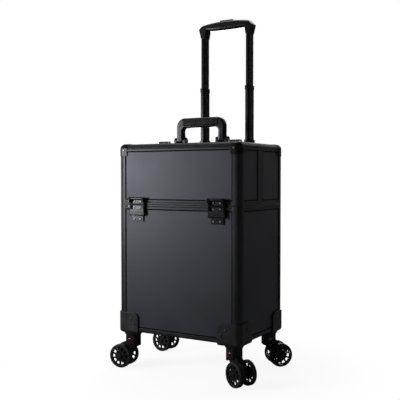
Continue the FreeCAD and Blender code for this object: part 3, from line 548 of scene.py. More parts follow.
@dataclass(frozen=True)
class Rubber(Finish):
    """Matt black rubber, a little dusty."""

    name: str
    grey: float
    dust: float
    grain: float
    rough: float
    sheen: float
    grain_depth: float = 0.00012
    dust_tint: float = -0.1

    def make(self, graph: Graph) -> bpy.types.Material:
        """Build the grain and a thin uneven dust.

        Args:
            graph: the material's empty graph.

        Returns:
            The material.
        """
        grain = graph.noise(self.grain, 3.0, 0.65)
        cloud = graph.noise(90.0, 4.0, 0.7)
        dusty = graph.remap(cloud, 0.48, 0.78, 0.0, 0.5)
        colour = graph.blend(dusty, shade(self.grey), shade(self.dust * 0.6, self.dust_tint))
        rough = graph.remap(cloud, 0.25, 0.75, self.rough - 0.07, self.rough + 0.08)
        normal = graph.bump(grain, self.grain_depth, 0.5)
        return graph.dress(Base_Color=colour, Roughness=rough, Normal=normal, Specular_IOR_Level=self.sheen)


@dataclass(frozen=True)
class RedInlay(Finish):
    """Deep red plastic with fine flakes, under a clear coat."""

    name: str = "dark_red_inlay"
    dark: tuple[float, ...] = (0.016, 0.003, 0.005, 1)
    pale: tuple[float, ...] = (0.045, 0.008, 0.011, 1)
    flakes: tuple[float, ...] = (0.12, 0.03, 0.035, 1)
    flake_depth: float = 0.00002
    coat: float = 0.5
    coat_rough: float = 0.15

    def make(self, graph: Graph) -> bpy.types.Material:
        """Build the uneven red with fine flakes.

        Args:
            graph: the material's empty graph.

        Returns:
            The material.
        """
        cloud = graph.noise(140.0, 3.0)
        flake = graph.noise(3000.0, 1.0)
        colour = graph.blend(graph.remap(cloud, 0.3, 0.7, 0.0, 1.0), self.dark, self.pale)
        colour = graph.blend(graph.remap(flake, 0.62, 0.8, 0.0, 0.5), colour, self.flakes)
        rough = graph.remap(cloud, 0.3, 0.7, 0.14, 0.22)
        normal = graph.bump(flake, self.flake_depth, 0.3)
        return graph.dress(Base_Color=colour, Roughness=rough, Normal=normal, Coat_Weight=self.coat,
                           Coat_Roughness=self.coat_rough)


PANEL = Laminate()
RAIL = Extrusion()
TUBE = Tube()
RED = RedInlay()
MOULDING = Moulded("moulded_black", grey=0.009, grain=2400.0, depth=0.00006,
                   rough=0.44, scuff=0.2, sheen=0.20)
CAP_FINISH = Moulded("corner_cap", grey=0.005, grain=2600.0, depth=0.00002,
                     rough=0.28, scuff=0.1, sheen=0.10)
CASTER_PLASTIC = Moulded("caster_plastic", grey=0.005, grain=2000.0, depth=0.00005,
                         rough=0.40, scuff=0.35, sheen=0.14)
HANDLE_PLASTIC = Moulded("handle_plastic", grey=0.004, grain=2800.0, depth=0.00003,
                         rough=0.20, scuff=0.05, sheen=0.19)
HUB_PLASTIC = Moulded("hub_plastic", grey=0.006, grain=2200.0, depth=0.00004,
                      rough=0.34, scuff=0.4, sheen=0.16)
TRAY_PLASTIC = Moulded("tray_plastic", grey=0.045, grain=1800.0, depth=0.00005,
                       rough=0.45, scuff=0.15, sheen=0.3)
BUTTON_PLASTIC = Moulded("button_plastic", grey=0.005, grain=2600.0, depth=0.00002,
                         rough=0.24, scuff=0.2, sheen=0.25)
LATCH_BLACK = Moulded("latch_black", grey=0.003, grain=2600.0, depth=0.00002,
                      rough=0.30, scuff=0.05, sheen=0.03)
PLATING = Plated("black_plating", grey=0.012, bright=0.06, rough=0.28, metal=0.85)
SATIN_PLATE = Plated("satin_plate", grey=0.017, bright=0.035, rough=0.27, metal=0.9)
STEEL = Plated("plain_steel", grey=0.32, bright=0.45, rough=0.30, metal=1.0)
RIVET_METAL = Plated("rivet_metal", grey=0.06, bright=0.14, rough=0.34, metal=0.95)
TYRE = Rubber("tyre_rubber", grey=0.005, dust=0.03, grain=1500.0, rough=0.58, sheen=0.16)
SOFT_GRIP = Rubber("soft_grip", grey=0.003, dust=0.010, grain=2400.0, rough=0.32, sheen=0.07)
# Near-black rubber with almost no sheen, on the seal and on the strips round the panels, whose darkness is
# painted shade standing in for the groove between rails and panels
SEAL_AND_SHADE_STRIP_RUBBER = Rubber("seal_and_shade_strip_rubber", grey=0.002, dust=0.006, grain=1200.0, rough=0.70, sheen=0.03)


# Modelling bench


class Bench:
    """Modelling steps shared by every sub-assembly, each done with Blender's own operators."""

    # Turns that lay a cylinder along an axis, and shares of a rounding's width that are tried in order
    TURNS = {Axis.X: (0, math.pi / 2, 0), Axis.Y: (-math.pi / 2, 0, 0), Axis.Z: (0, 0, 0)}
    SHARES = (1.0, 0.8, 0.6, 0.45, 0.3)
    # Length below which an edge is a sliver, angle below which faces are flat, and lead of large faces
    SLIVER = 1e-4
    FLAT_ANGLE = math.radians(0.3)
    LARGE_LEAD = 60

    @classmethod
    def clear(cls) -> None:
        """Leave edit mode and deselect everything."""
        active = bpy.context.view_layer.objects.active
        if active is not None and active.mode != "OBJECT":
            bpy.ops.object.mode_set(mode="OBJECT")
        bpy.ops.object.select_all(action="DESELECT")

    @classmethod
    def take(cls, piece: Piece) -> None:
        """Select one piece alone and make it the active one.

        Args:
            piece: the piece.
        """
        cls.clear()
        piece.select_set(True)
        bpy.context.view_layer.objects.active = piece

    @classmethod
    def settle(cls, piece: Piece, name: str) -> Piece:
        """Name a piece and move its place, turn and scale into its mesh.

        Args:
            piece: the piece.
            name: its name.

        Returns:
            The piece.
        """
        piece.name = name
        piece.data.name = name
        cls.take(piece)
        bpy.ops.object.transform_apply(location=True, rotation=True, scale=True)
        return piece

    @classmethod
    def block(cls, name: str, low: Triple, high: Triple) -> Piece:
        """Add a box between two corners.

        Args:
            name: name of the piece.
            low: lowest corner.
            high: highest corner.

        Returns:
            The piece.
        """
        low, high = Vector(low), Vector(high)
        cls.clear()
        bpy.ops.mesh.primitive_cube_add(size=1, location=(low + high) / 2)
        piece = bpy.context.object
        piece.scale = high - low
        return cls.settle(piece, name)

    @classmethod
    def drum(cls, name: str, centre: Triple, radius: float, length: float, axis: Axis,
             sides: int = 40) -> Piece:
        """Add a cylinder.

        Args:
            name: name of the piece.
            centre: its middle.
            radius: its radius.
            length: its length.
            axis: the axis it lies along.
            sides: how many sides it has.

        Returns:
            The piece.
        """
        cls.clear()
        bpy.ops.mesh.primitive_cylinder_add(vertices=sides, radius=radius, depth=length, location=centre,
                                            rotation=cls.TURNS[axis])
        return cls.settle(bpy.context.object, name)

    @classmethod
    def from_node(cls, node: str, name: str, drop: Optional[Test] = None) -> Piece:
        """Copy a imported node's mesh into a new piece and merge its loose triangles into faces.

        Args:
            node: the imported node.
            name: name of the piece.
            drop: says of a face's middle and normal whether to leave it out.

        Returns:
            The piece, with the node's shape.
        """
        piece = bpy.data.objects.new(name, frame["nodes"][node].data.copy())
        piece.data.name = name
        piece.data.materials.clear()
        bpy.context.scene.collection.objects.link(piece)
        cls.take(piece)
        if piece.data.has_custom_normals:
            bpy.ops.mesh.customdata_custom_splitnormals_clear()
        if drop is not None and cls.pick(piece, "FACE", drop):
            bpy.ops.mesh.delete(type="FACE")
        cls.take(piece)
        bpy.ops.object.mode_set(mode="EDIT")
        bpy.ops.mesh.select_all(action="SELECT")
        bpy.ops.mesh.remove_doubles(threshold=WELD)
        return cls.tidy(piece)

    @classmethod
    def tidy(cls, piece: Piece) -> Piece:
        """Remove walls between solids that touch, slivers, and edges inside flat faces.

        Args:
            piece: the piece.

        Returns:
            The piece.
        """
        cls.take(piece)
        bpy.ops.object.mode_set(mode="EDIT")
        bpy.ops.mesh.select_mode(type="FACE")
        for _ in range(2):
            bpy.ops.mesh.select_all(action="DESELECT")
            bpy.ops.mesh.select_interior_faces()
            bpy.ops.mesh.delete(type="FACE")
            bpy.ops.mesh.select_all(action="SELECT")
            bpy.ops.mesh.dissolve_degenerate(threshold=cls.SLIVER)
            bpy.ops.mesh.dissolve_limited(angle_limit=cls.FLAT_ANGLE)
        cls.clear()
        return piece

    @classmethod
    def pick(cls, piece: Piece, kind: str, test: Test) -> int:
        """Select faces or edges in edit mode.

        Args:
            piece: the piece to edit.
            kind: FACE or EDGE.
            test: says of a middle and a normal, or an edge's direction, whether to take it.

        Returns:
            How many were taken.
        """
        cls.take(piece)
        bpy.ops.object.mode_set(mode="EDIT")
        bpy.ops.mesh.select_mode(type=kind)
        bpy.ops.mesh.select_all(action="DESELECT")
        mesh = bmesh.from_edit_mesh(piece.data)
        taken = 0
        if kind == "FACE":
            for face in mesh.faces:
                if test(face.calc_center_median(), face.normal):
                    face.select_set(True)
                    taken += 1
        else:
            for edge in mesh.edges:
                start, end = (vertex.co for vertex in edge.verts)
                if test((start + end) / 2, (end - start).normalized()):
                    edge.select_set(True)
                    taken += 1
        bmesh.update_edit_mesh(piece.data)
        return taken

    @classmethod
    def bevel(cls, piece: Piece, test: Test, width: float, steps: int = 3) -> None:
        """Round the edges that pass a test.

        Args:
            piece: the piece.
            test: says of an edge's middle and direction whether to round it.
            width: how far the rounding reaches.
            steps: how many faces it has.
        """
        if cls.pick(piece, "EDGE", test):
            bpy.ops.mesh.bevel(offset=width, segments=steps, affect="EDGES")
        cls.clear()

    @classmethod
    def sink(cls, piece: Piece, test: Test, margin: float, depth: Triple) -> None:
        """Inset the faces that pass a test and move what is inside.

        Args:
            piece: the piece.
            test: says of a face's middle and normal whether to take it.
            margin: width of the rim that stays.
            depth: how the inner faces move.
        """
        if cls.pick(piece, "FACE", test):
            bpy.ops.mesh.inset(thickness=margin, depth=0)
            bpy.ops.mesh.extrude_region_move(TRANSFORM_OT_translate={"value": depth})
        cls.clear()

    @classmethod
    def draw_in(cls, piece: Piece, test: Test, factor: Triple, centre: Triple) -> None:
        """Scale the faces that pass a test about a point.

        Args:
            piece: the piece.
            test: says of a face's middle and normal whether to take it.
            factor: factors on the three axes.
            centre: the point that stays.
        """
        if cls.pick(piece, "FACE", test):
            bpy.ops.transform.resize(value=factor, center_override=centre)
        cls.clear()

    @classmethod
    def slice(cls, piece: Piece, point: Triple, normal: Triple) -> None:
        """Add a ring of edges where a plane crosses the piece.

        Args:
            piece: the piece.
            point: a point of the plane.
            normal: the plane's normal.
        """
        cls.take(piece)
        bpy.ops.object.mode_set(mode="EDIT")
        bpy.ops.mesh.select_all(action="SELECT")
        bpy.ops.mesh.bisect(plane_co=point, plane_no=normal)
        cls.clear()

    @classmethod
    def modify(cls, piece: Piece, kind: str, **settings: Any) -> Piece:
        """Add a modifier and apply it.

        Args:
            piece: the piece.
            kind: Blender's name of the modifier type.
            settings: properties of the modifier.

        Returns:
            The piece.
        """
        cls.take(piece)
        modifier = piece.modifiers.new(kind.title(), kind)
        for key, value in settings.items():
            setattr(modifier, key, value)
        bpy.ops.object.modifier_apply(modifier=modifier.name)
        return piece

    @classmethod
    def soften(cls, piece: Piece, width: float, steps: int = 2, angle: float = 32.0,
               test: Optional[Callable[[Vector], bool]] = None) -> Piece:
        """Round every sharp edge a little, less where corners would stray, and shade the piece smooth.

        Args:
            piece: the piece.
            width: width of the rounding.
            steps: faces across the rounding.
            angle: least angle, in degrees, of an edge that counts as sharp.
            test: says of an edge's middle whether to round it; left out, all sharp edges are rounded.

        Returns:
            The piece.
        """
        if test is not None:
            cls.weigh(piece, angle, test)
        plain = piece.data.copy()
        skin = BVHTree.FromPolygons([vertex.co for vertex in plain.vertices],
                                    [tuple(face.vertices) for face in plain.polygons])
        for share in cls.SHARES:
            tried = piece.data
            piece.data = plain.copy()
            bpy.data.meshes.remove(tried)
            cls.modify(piece, "BEVEL", width=width * share, segments=steps, use_clamp_overlap=False,
                       limit_method="ANGLE" if test is None else "WEIGHT", angle_limit=math.radians(angle))
            if all(skin.find_nearest(vertex.co)[3] < width for vertex in piece.data.vertices):
                break
        piece.data.name = piece.name
        bpy.data.meshes.remove(plain)
        return cls.smooth(piece)

    @classmethod
    def weigh(cls, piece: Piece, angle: float, test: Callable[[Vector], bool]) -> None:
        """Mark the sharp edges whose middle passes a test, to be rounded.

        Args:
            piece: the piece.
            angle: least angle, in degrees, of an edge that counts as sharp.
            test: says of an edge's middle whether to mark it.
        """
        mesh = bmesh.new()
        mesh.from_mesh(piece.data)
        layer = mesh.edges.layers.float.new("bevel_weight_edge")
        for edge in mesh.edges:
            middle = (edge.verts[0].co + edge.verts[1].co) / 2
            if edge.calc_face_angle(0.0) > math.radians(angle) and test(middle):
                edge[layer] = 1.0
        mesh.to_mesh(piece.data)
        mesh.free()

    @classmethod
    def smooth(cls, piece: Piece, angle: float = 40.0) -> Piece:
        """Shade a piece smooth across gentle edges, with normals led by its large faces.

        Args:
            piece: the piece.
            angle: most degrees of an edge that counts as gentle.

        Returns:
            The piece.
        """
        cls.take(piece)
        bpy.ops.object.shade_smooth_by_angle(angle=math.radians(angle))
        return cls.modify(piece, "WEIGHTED_NORMAL", keep_sharp=True, weight=cls.LARGE_LEAD)

    @classmethod
    def cut(cls, piece: Piece, tool: Piece, fuse: bool = False) -> Piece:
        """Take a tool's shape out of a piece and remove the tool.

        Args:
            piece: the piece.
            tool: the shape to take out.
            fuse: whether solids of the piece that touch become one.

        Returns:
            The piece.
        """
        cls.modify(piece, "BOOLEAN", operation="DIFFERENCE", object=tool, solver="EXACT", use_self=fuse)
        bpy.data.objects.remove(tool)
        return piece

    @classmethod
    def join(cls, name: str, pieces: Iterable[Piece]) -> Piece:
        """Join several pieces into one mesh.

        Args:
            name: name of the joined piece.
            pieces: the pieces.

        Returns:
            The joined piece.
        """
        found = list(pieces)
        cls.clear()
        for piece in found:
            piece.select_set(True)
        bpy.context.view_layer.objects.active = found[0]
        bpy.ops.object.join()
        return cls.settle(found[0], name)

    @classmethod
    def copy(cls, piece: Piece, name: str, matrix: Matrix) -> Piece:
        """Copy a piece with a mesh of its own, moved by a matrix.

        Args:
            piece: the piece.
            name: name of the copy.
            matrix: where the copy goes.

        Returns:
            The copy.
        """
        twin = piece.copy()
        twin.data = piece.data.copy()
        twin.name = name
        bpy.context.scene.collection.objects.link(twin)
        twin.data.transform(matrix)
        if matrix.determinant() < 0:
            cls.outward(twin)
        return twin

    @classmethod
    def outward(cls, piece: Piece) -> Piece:
        """Turn a closed piece's faces outwards.

        Args:
            piece: the piece.

        Returns:
            The piece.
        """
        cls.take(piece)
        bpy.ops.object.mode_set(mode="EDIT")
        bpy.ops.mesh.select_all(action="SELECT")
        bpy.ops.mesh.normals_make_consistent(inside=False)
        cls.clear()
        return piece

    @classmethod
    def islands(cls, node: str) -> list[tuple[Vector, Vector]]:
        """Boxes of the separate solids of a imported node.

        Args:
            node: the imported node.

        Returns:
            The lowest and highest corner of each solid.
        """
        mesh = bmesh.new()
        mesh.from_mesh(frame["nodes"][node].data)
        bmesh.ops.remove_doubles(mesh, verts=mesh.verts, dist=WELD)
        left = set(mesh.verts)
        boxes: list[tuple[Vector, Vector]] = []
        while left:
            front = [left.pop()]
            group = list(front)
            while front:
                for edge in front.pop().link_edges:
                    for vertex in edge.verts:
                        if vertex in left:
                            left.remove(vertex)
                            front.append(vertex)
                            group.append(vertex)
            boxes.append((Vector(min(v.co[i] for v in group) for i in range(3)),
                          Vector(max(v.co[i] for v in group) for i in range(3))))
        mesh.free()
        return sorted(boxes, key=lambda box: tuple(round(value, 5) for value in box[0]))


class Assembly:
    """Base of every sub-assembly."""

    def dress(self, piece: Piece, finish: Finish) -> Piece:
        """Give a piece one finish all over.

        Args:
            piece: the piece.
            finish: the finish.

        Returns:
            The piece.
        """
        piece.data.materials.clear()
        piece.data.materials.append(finish.material())
        return piece

    def hand_over(self, piece: Piece, body: str, slot: str, nodes: Sequence[str] = ()) -> Piece:
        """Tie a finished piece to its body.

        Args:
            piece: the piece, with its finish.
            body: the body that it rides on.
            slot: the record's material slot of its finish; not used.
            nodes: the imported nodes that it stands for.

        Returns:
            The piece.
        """
        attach(piece, body.value if isinstance(body, Enum) else body)
        if nodes:
            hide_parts(*nodes)
        LOG.info("%s rides on %s, %d faces", piece.name, body, len(piece.data.polygons))
        return piece

    def refine(self, node: str, body: str, slot: str, finish: Finish, width: float,
               steps: int = 2) -> Piece:
        """Stand a soft-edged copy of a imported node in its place.

        Args:
            node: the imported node.
            body: the body that it rides on.
            slot: the record's material slot.
            finish: its finish.
            width: width of the rounding on its edges.
            steps: faces across the rounding.

        Returns:
            The piece.
        """
        piece = Bench.soften(Bench.from_node(node, node + "_dressed"), width, steps)
        self.dress(piece, finish)
        return self.hand_over(piece, body, slot, [node])

    def paint(self, node: str, finish: Finish) -> None:
        """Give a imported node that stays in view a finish.

        Args:
            node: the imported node.
            finish: the finish.
        """
        data = frame["nodes"][node].data
        data.materials.clear()
        data.materials.append(finish.material())
        LOG.info("%s keeps its shape, with %s", node, finish.name)


# The box


@dataclass
class CaseShell(Assembly):
    """Panels, rails, seal and corner caps of the box, hood and lid, and strips of painted groove shade."""

    panels: tuple[str, ...] = ("lower_front_panel", "lower_rear_panel", "lower_side_panels", "base_panel",
                               "hood_back_panel", "hood_side_panels", "hood_top_panel",
                               "lid_front_panel", "lid_side_panels", "lid_top_panel")
    edge_round: float = 0.012
    groove_half: float = 0.0012
    post_groove_half: float = 0.0006
    groove_depth: float = 0.0016
    groove_overrun: float = 0.02
    past_ends: tuple[float, float] = (-1.0, 1.0)
    # Near-black strips round the panels, painted shade for the groove between rails and panels: their width,
    # how far they stand proud and sink, and their rounding, which the seal shares
    shade_strip_width: float = 0.0028
    shade_strip_proud: float = 0.0005
    shade_strip_sunk: float = 0.0008
    seal_and_shade_strip_soft: float = 0.0002
    window_over: float = 0.001
    seal_inset: float = 0.004
    seal_width: float = 0.008
    seal_sunk: float = 0.0003
    seal_gap: float = 0.0001
    rail_soft: float = 0.0006
    cap_soft: float = 0.0008
    cap_steps: int = 3

    def __post_init__(self) -> None:
        """Take the faces and openings of the box from the frame."""
        posts_low, posts_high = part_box("lower_corner_posts")
        front_low, front_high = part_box("lower_front_panel")
        side_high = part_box("lower_side_panels")[1]
        lid_low, lid_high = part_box("lid_rails")
        self.half_width, self.half_depth = posts_high.x, posts_high.y
        self.bottom, self.seam, self.top = posts_low.z, posts_high.z, lid_high.z
        self.skin_x, self.skin_y = side_high.x, -front_low.y
        self.skin_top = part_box("lid_top_panel")[1].z
        self.opening_x = front_high.x - PANEL_TONGUE
        self.opening_y = side_high.y - PANEL_TONGUE
        self.base_rail_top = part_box("base_rails")[1].z
        self.rim_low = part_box("body_rim_rails")[0].z
        self.hood_sill = 2 * self.seam - self.rim_low
        self.lid_sill = lid_low.z + self.seam - self.rim_low
        self.top_rail_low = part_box("lid_front_panel")[1].z - PANEL_TONGUE
        self.hood_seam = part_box("hood_side_panels")[0].y + PANEL_TONGUE
        self.lid_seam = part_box("lid_side_panels")[1].y - PANEL_TONGUE

    def border(self, name: str, axis: Axis, face: float, sides: tuple[float, float, float, float]) -> Piece:
        """Make a flat frame round one opening.

        Args:
            name: name of the piece.
            axis: the axis that the opening looks along.
            face: where the panel's outer face lies on that axis.
            sides: lowest and highest place on each of the other two axes.

        Returns:
            The frame.
        """
        away = 1 if face > 0 else -1
        reach = sorted((face - away * self.shade_strip_sunk, face + away * self.shade_strip_proud))
        flat = [other.value for other in Axis if other is not axis]
        low, high, inner_low, inner_high = ([0.0] * 3 for _ in range(4))
        low[axis.value], high[axis.value] = reach
        inner_low[axis.value] = reach[0] - self.window_over
        inner_high[axis.value] = reach[1] + self.window_over
        for index, other in enumerate(flat):
            low[other], high[other] = sides[2 * index], sides[2 * index + 1]
            inner_low[other] = low[other] + self.shade_strip_width
            inner_high[other] = high[other] - self.shade_strip_width
        ring = Bench.block(name, low, high)
        return Bench.cut(ring, Bench.block(name + "_window", inner_low, inner_high))

    def shade_strips(self) -> None:
        """Near-black rubber strips between the rails and the panels; their darkness is painted shade that
        stands in for the shade in the groove there.
        """
        x, y = self.opening_x, self.opening_y
        lower = (self.base_rail_top, self.rim_low)
        hood = (self.hood_sill, self.top_rail_low)
        front = (self.lid_sill, self.top_rail_low)
        body: list[Piece] = []
        lid: list[Piece] = []
        for sign in SIGNS:
            side = sign * self.skin_x
            body.append(self.border("gasket_lower_%d" % sign, Axis.Y, sign * self.skin_y, (-x, x, *lower)))
            body.append(self.border("gasket_lower_side_%d" % sign, Axis.X, side, (-y, y, *lower)))
            body.append(self.border("gasket_hood_side_%d" % sign, Axis.X, side, (self.hood_seam, y, *hood)))
            lid.append(self.border("gasket_lid_side_%d" % sign, Axis.X, side, (-y, self.lid_seam, *front)))
        body.append(self.border("gasket_hood_back", Axis.Y, self.skin_y, (-x, x, *hood)))
        body.append(self.border("gasket_hood_top", Axis.Z, self.skin_top, (-x, x, self.hood_seam, y)))
        lid.append(self.border("gasket_lid_front", Axis.Y, -self.skin_y, (-x, x, *front)))
        lid.append(self.border("gasket_lid_top", Axis.Z, self.skin_top, (-x, x, -y, self.lid_seam)))
        for name, pieces, rides in (("body_gaskets", body, Body.CASE), ("lid_gaskets", lid, Body.LID)):
            piece = Bench.soften(Bench.join(name, pieces), self.seal_and_shade_strip_soft, 1)
            self.hand_over(self.dress(piece, SEAL_AND_SHADE_STRIP_RUBBER), rides, "soft_grip")

    def seal(self) -> None:
        """Soft seal on the box's rim that closes the gap under the lid."""
        outer = Vector((self.half_width - self.seal_inset, self.half_depth - self.seal_inset, 0))
        inner = outer - Vector((self.seal_width, self.seal_width, 0))
        low = self.seam - self.seal_sunk
        high = self.lid_sill - (self.seam - self.rim_low) - self.seal_gap
        piece = Bench.block("seam_seal", (-outer.x, -outer.y, low), (outer.x, self.lid_seam, high))
        window = Bench.block("seal_window", (-inner.x, -inner.y, low - TOOL_OVERRUN),
                             (inner.x, self.half_depth, high + TOOL_OVERRUN))
        Bench.soften(Bench.cut(piece, window), self.seal_and_shade_strip_soft)
        self.hand_over(self.dress(piece, SEAL_AND_SHADE_STRIP_RUBBER), Body.CASE, "soft_grip")

    def groove(self, face: Axis, away: int, across: Axis, place: float, reach: Sequence[float]) -> Piece:
        """Make a bar that cuts one straight groove into a flat face of the rails.

        Args:
            face: the axis that the face looks along.
            away: the sign of that side.
            across: the axis on which the groove has its place.
            place: where it lies on that axis.
            reach: its ends on the third axis.

        Returns:
            The bar.
        """
        outer = {Axis.X: self.half_width, Axis.Y: self.half_depth, Axis.Z: self.top}[face] * away
        low, high = [0.0] * 3, [0.0] * 3
        ends = (outer + away * TOOL_PROUD, outer - away * self.groove_depth)
        low[face.value], high[face.value] = sorted(ends)
        along = next(axis for axis in Axis if axis not in (face, across))
        half = self.post_groove_half if along is Axis.Z else self.groove_half
        low[across.value], high[across.value] = place - half, place + half
        low[along.value], high[along.value] = reach
        return Bench.block("groove_bar", low, high)

    def grooved(self, node: str, body: Body, bars: list[Piece]) -> None:
        """Stand a rounded copy of a node of rails in its place, with grooves cut along them.

        Args:
            node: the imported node.
            body: the body that it rides on.
            bars: the cutting bars.
        """
        piece = Bench.from_node(node, node + "_dressed")
        Bench.tidy(Bench.cut(piece, Bench.join("groove_bars", bars), True))
        Bench.soften(piece, self.rail_soft)
        self.hand_over(self.dress(piece, RAIL), body, "frame_rail", [node])

    def rails(self) -> None:
        """Cut the grooves of the posts, the rim, the lid and the hood."""
        x = self.half_width - self.edge_round
        y = self.half_depth - self.edge_round
        z = self.top - self.edge_round
        upright = (self.bottom - TOOL_OVERRUN, self.rim_low + self.groove_overrun)
        corners = [(front, side) for front in SIGNS for side in SIGNS]
        posts = [self.groove(Axis.Y, front, Axis.X, side * x, upright) for front, side in corners]
        posts += [self.groove(Axis.X, side, Axis.Y, front * y, upright) for front, side in corners]
        self.grooved("lower_corner_posts", Body.CASE, posts)
        self.rings()
        for node, body, way, seam, sill in (("hood_rails", Body.CASE, 1, self.hood_seam, self.hood_sill),
                                            ("lid_rails", Body.LID, -1, self.lid_seam, self.lid_sill)):
            tall = (sill - self.groove_overrun, self.top_rail_low)
            middle = sill - (self.seam - self.rim_low) / 2
            wide = (-self.opening_x, self.opening_x)
            deep = tuple(sorted((seam, way * self.opening_y)))
            bars = [self.groove(Axis.Y, way, Axis.X, side * x, tall) for side in SIGNS]
            bars += [self.groove(Axis.X, side, Axis.Y, way * y, tall) for side in SIGNS]
            bars += [self.groove(Axis.Y, way, Axis.Z, z, wide),
                     self.groove(Axis.Z, 1, Axis.Y, way * y, wide),
                     self.groove(Axis.Y, way, Axis.Z, middle, wide)]
            for side in SIGNS:
                bars += [self.groove(Axis.X, side, Axis.Z, z, deep),
                         self.groove(Axis.Z, 1, Axis.X, side * x, deep),
                         self.groove(Axis.X, side, Axis.Z, middle, deep)]
            self.grooved(node, body, bars)

    def of_side(self, middle: Vector, normal: Vector) -> bool:
        """Whether a face belongs to a rail along the left or right side."""
        beyond = abs(middle.x) - self.opening_x
        return beyond > NEAR or (beyond > -NEAR and normal.x * middle.x < 0)

    def rings(self) -> None:
        """Round the base and rim rails, whose side rails butt against those in front and behind."""
        rim = (self.rim_low + self.seam) / 2
        for node, grooved in (("base_rails", False), ("body_rim_rails", True)):
            across = Bench.from_node(node, node + "_across", self.of_side)
            along = Bench.from_node(node, node + "_along",
                                    lambda middle, normal: not self.of_side(middle, normal))
            if grooved:
                for way in SIGNS:
                    Bench.cut(across, self.groove(Axis.Y, way, Axis.Z, rim, self.past_ends))
                    Bench.cut(along, self.groove(Axis.X, way, Axis.Z, rim, self.past_ends))
            ring = [Bench.soften(Bench.tidy(piece), self.rail_soft) for piece in (across, along)]
            piece = Bench.join(node + "_dressed", ring)
            self.hand_over(self.dress(piece, RAIL), Body.CASE, "frame_rail", [node])

    def build(self) -> None:
        """Dress the panels, round the rails and caps, lay the near-black strips of painted groove shade, and
        fit the seal.
        """
        for node in self.panels:
            self.paint(node, PANEL)
        self.rails()
        for node, body in (("hood_corner_caps", Body.CASE), ("lid_corner_caps", Body.LID)):
            self.refine(node, body, "moulded_corner", CAP_FINISH, self.cap_soft, self.cap_steps)
        self.shade_strips()
        self.seal()


@dataclass
class Fasteners(Assembly):
    """Domed rivet heads on the brackets, latches, caps and seam."""

    sides: int = 24
    radius: float = 0.003
    height: float = 0.0012
    dome: float = 0.75
    dome_steps: int = 4
    dimple_rim: float = 0.0009
    dimple: float = 0.35
    smooth_angle: float = 50.0

    def head(self) -> Piece:
        """Make one rivet head that stands on the floor at the origin.

        Returns:
            The head.
        """
        high = self.height
        piece = Bench.drum("rivet_head", (0, 0, high / 2), self.radius, high, Axis.Z, self.sides)
        Bench.bevel(piece, lambda middle, way: middle.z > high * STRAIGHT, high * self.dome, self.dome_steps)
        Bench.sink(piece, lambda middle, normal: normal.z > STRAIGHT and middle.z > high * LOOKS,
                   self.dimple_rim, (0, 0, -high * self.dimple))
        return Bench.smooth(piece, self.smooth_angle)

    def place(self, pattern: Piece, node: str) -> list[Piece]:
        """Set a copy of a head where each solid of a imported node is.

        Args:
            pattern: the head at the origin.
            node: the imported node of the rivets.

        Returns:
            The copies.
        """
        copies = []
        for index, (low, high) in enumerate(Bench.islands(node)):
            size = high - low
            axis = min(range(3), key=lambda i: size[i])
            middle = (low + high) / 2
            outward = Vector((0, 0, 0))
            outward[axis] = 1 if middle[axis] > 0 else -1
            base = middle.copy()
            base[axis] = low[axis] if outward[axis] > 0 else high[axis]
            turn = Vector((0, 0, 1)).rotation_difference(outward).to_matrix().to_4x4()
            name = "%s_head_%d" % (node, index)
            copies.append(Bench.copy(pattern, name, Matrix.Translation(base) @ turn))
        return copies

    def build(self) -> None:
        """Replace the plain rivets of the body and the lid by domed ones."""
        pattern = self.head()
        for node, body in (("body_rivets", Body.CASE), ("lid_rivets", Body.LID)):
            piece = Bench.join(node + "_domed", self.place(pattern, node))
            self.hand_over(self.dress(piece, RIVET_METAL), body, "rivet", [node])
        bpy.data.objects.remove(pattern)


@dataclass
class Hinges(Assembly):
    """Two knuckle hinges across the seam of the top."""

    soft: float = 0.0004

    def build(self) -> None:
        """Round the leaves and pins."""
        self.refine("hinge_leaves_hood", Body.CASE, "black_hardware", PLATING, self.soft)
        self.refine("hinge_leaves_lid", Body.LID, "black_hardware", PLATING, self.soft)
        self.refine("hinge_pins", Body.CASE, "steel_pin", STEEL, self.soft)


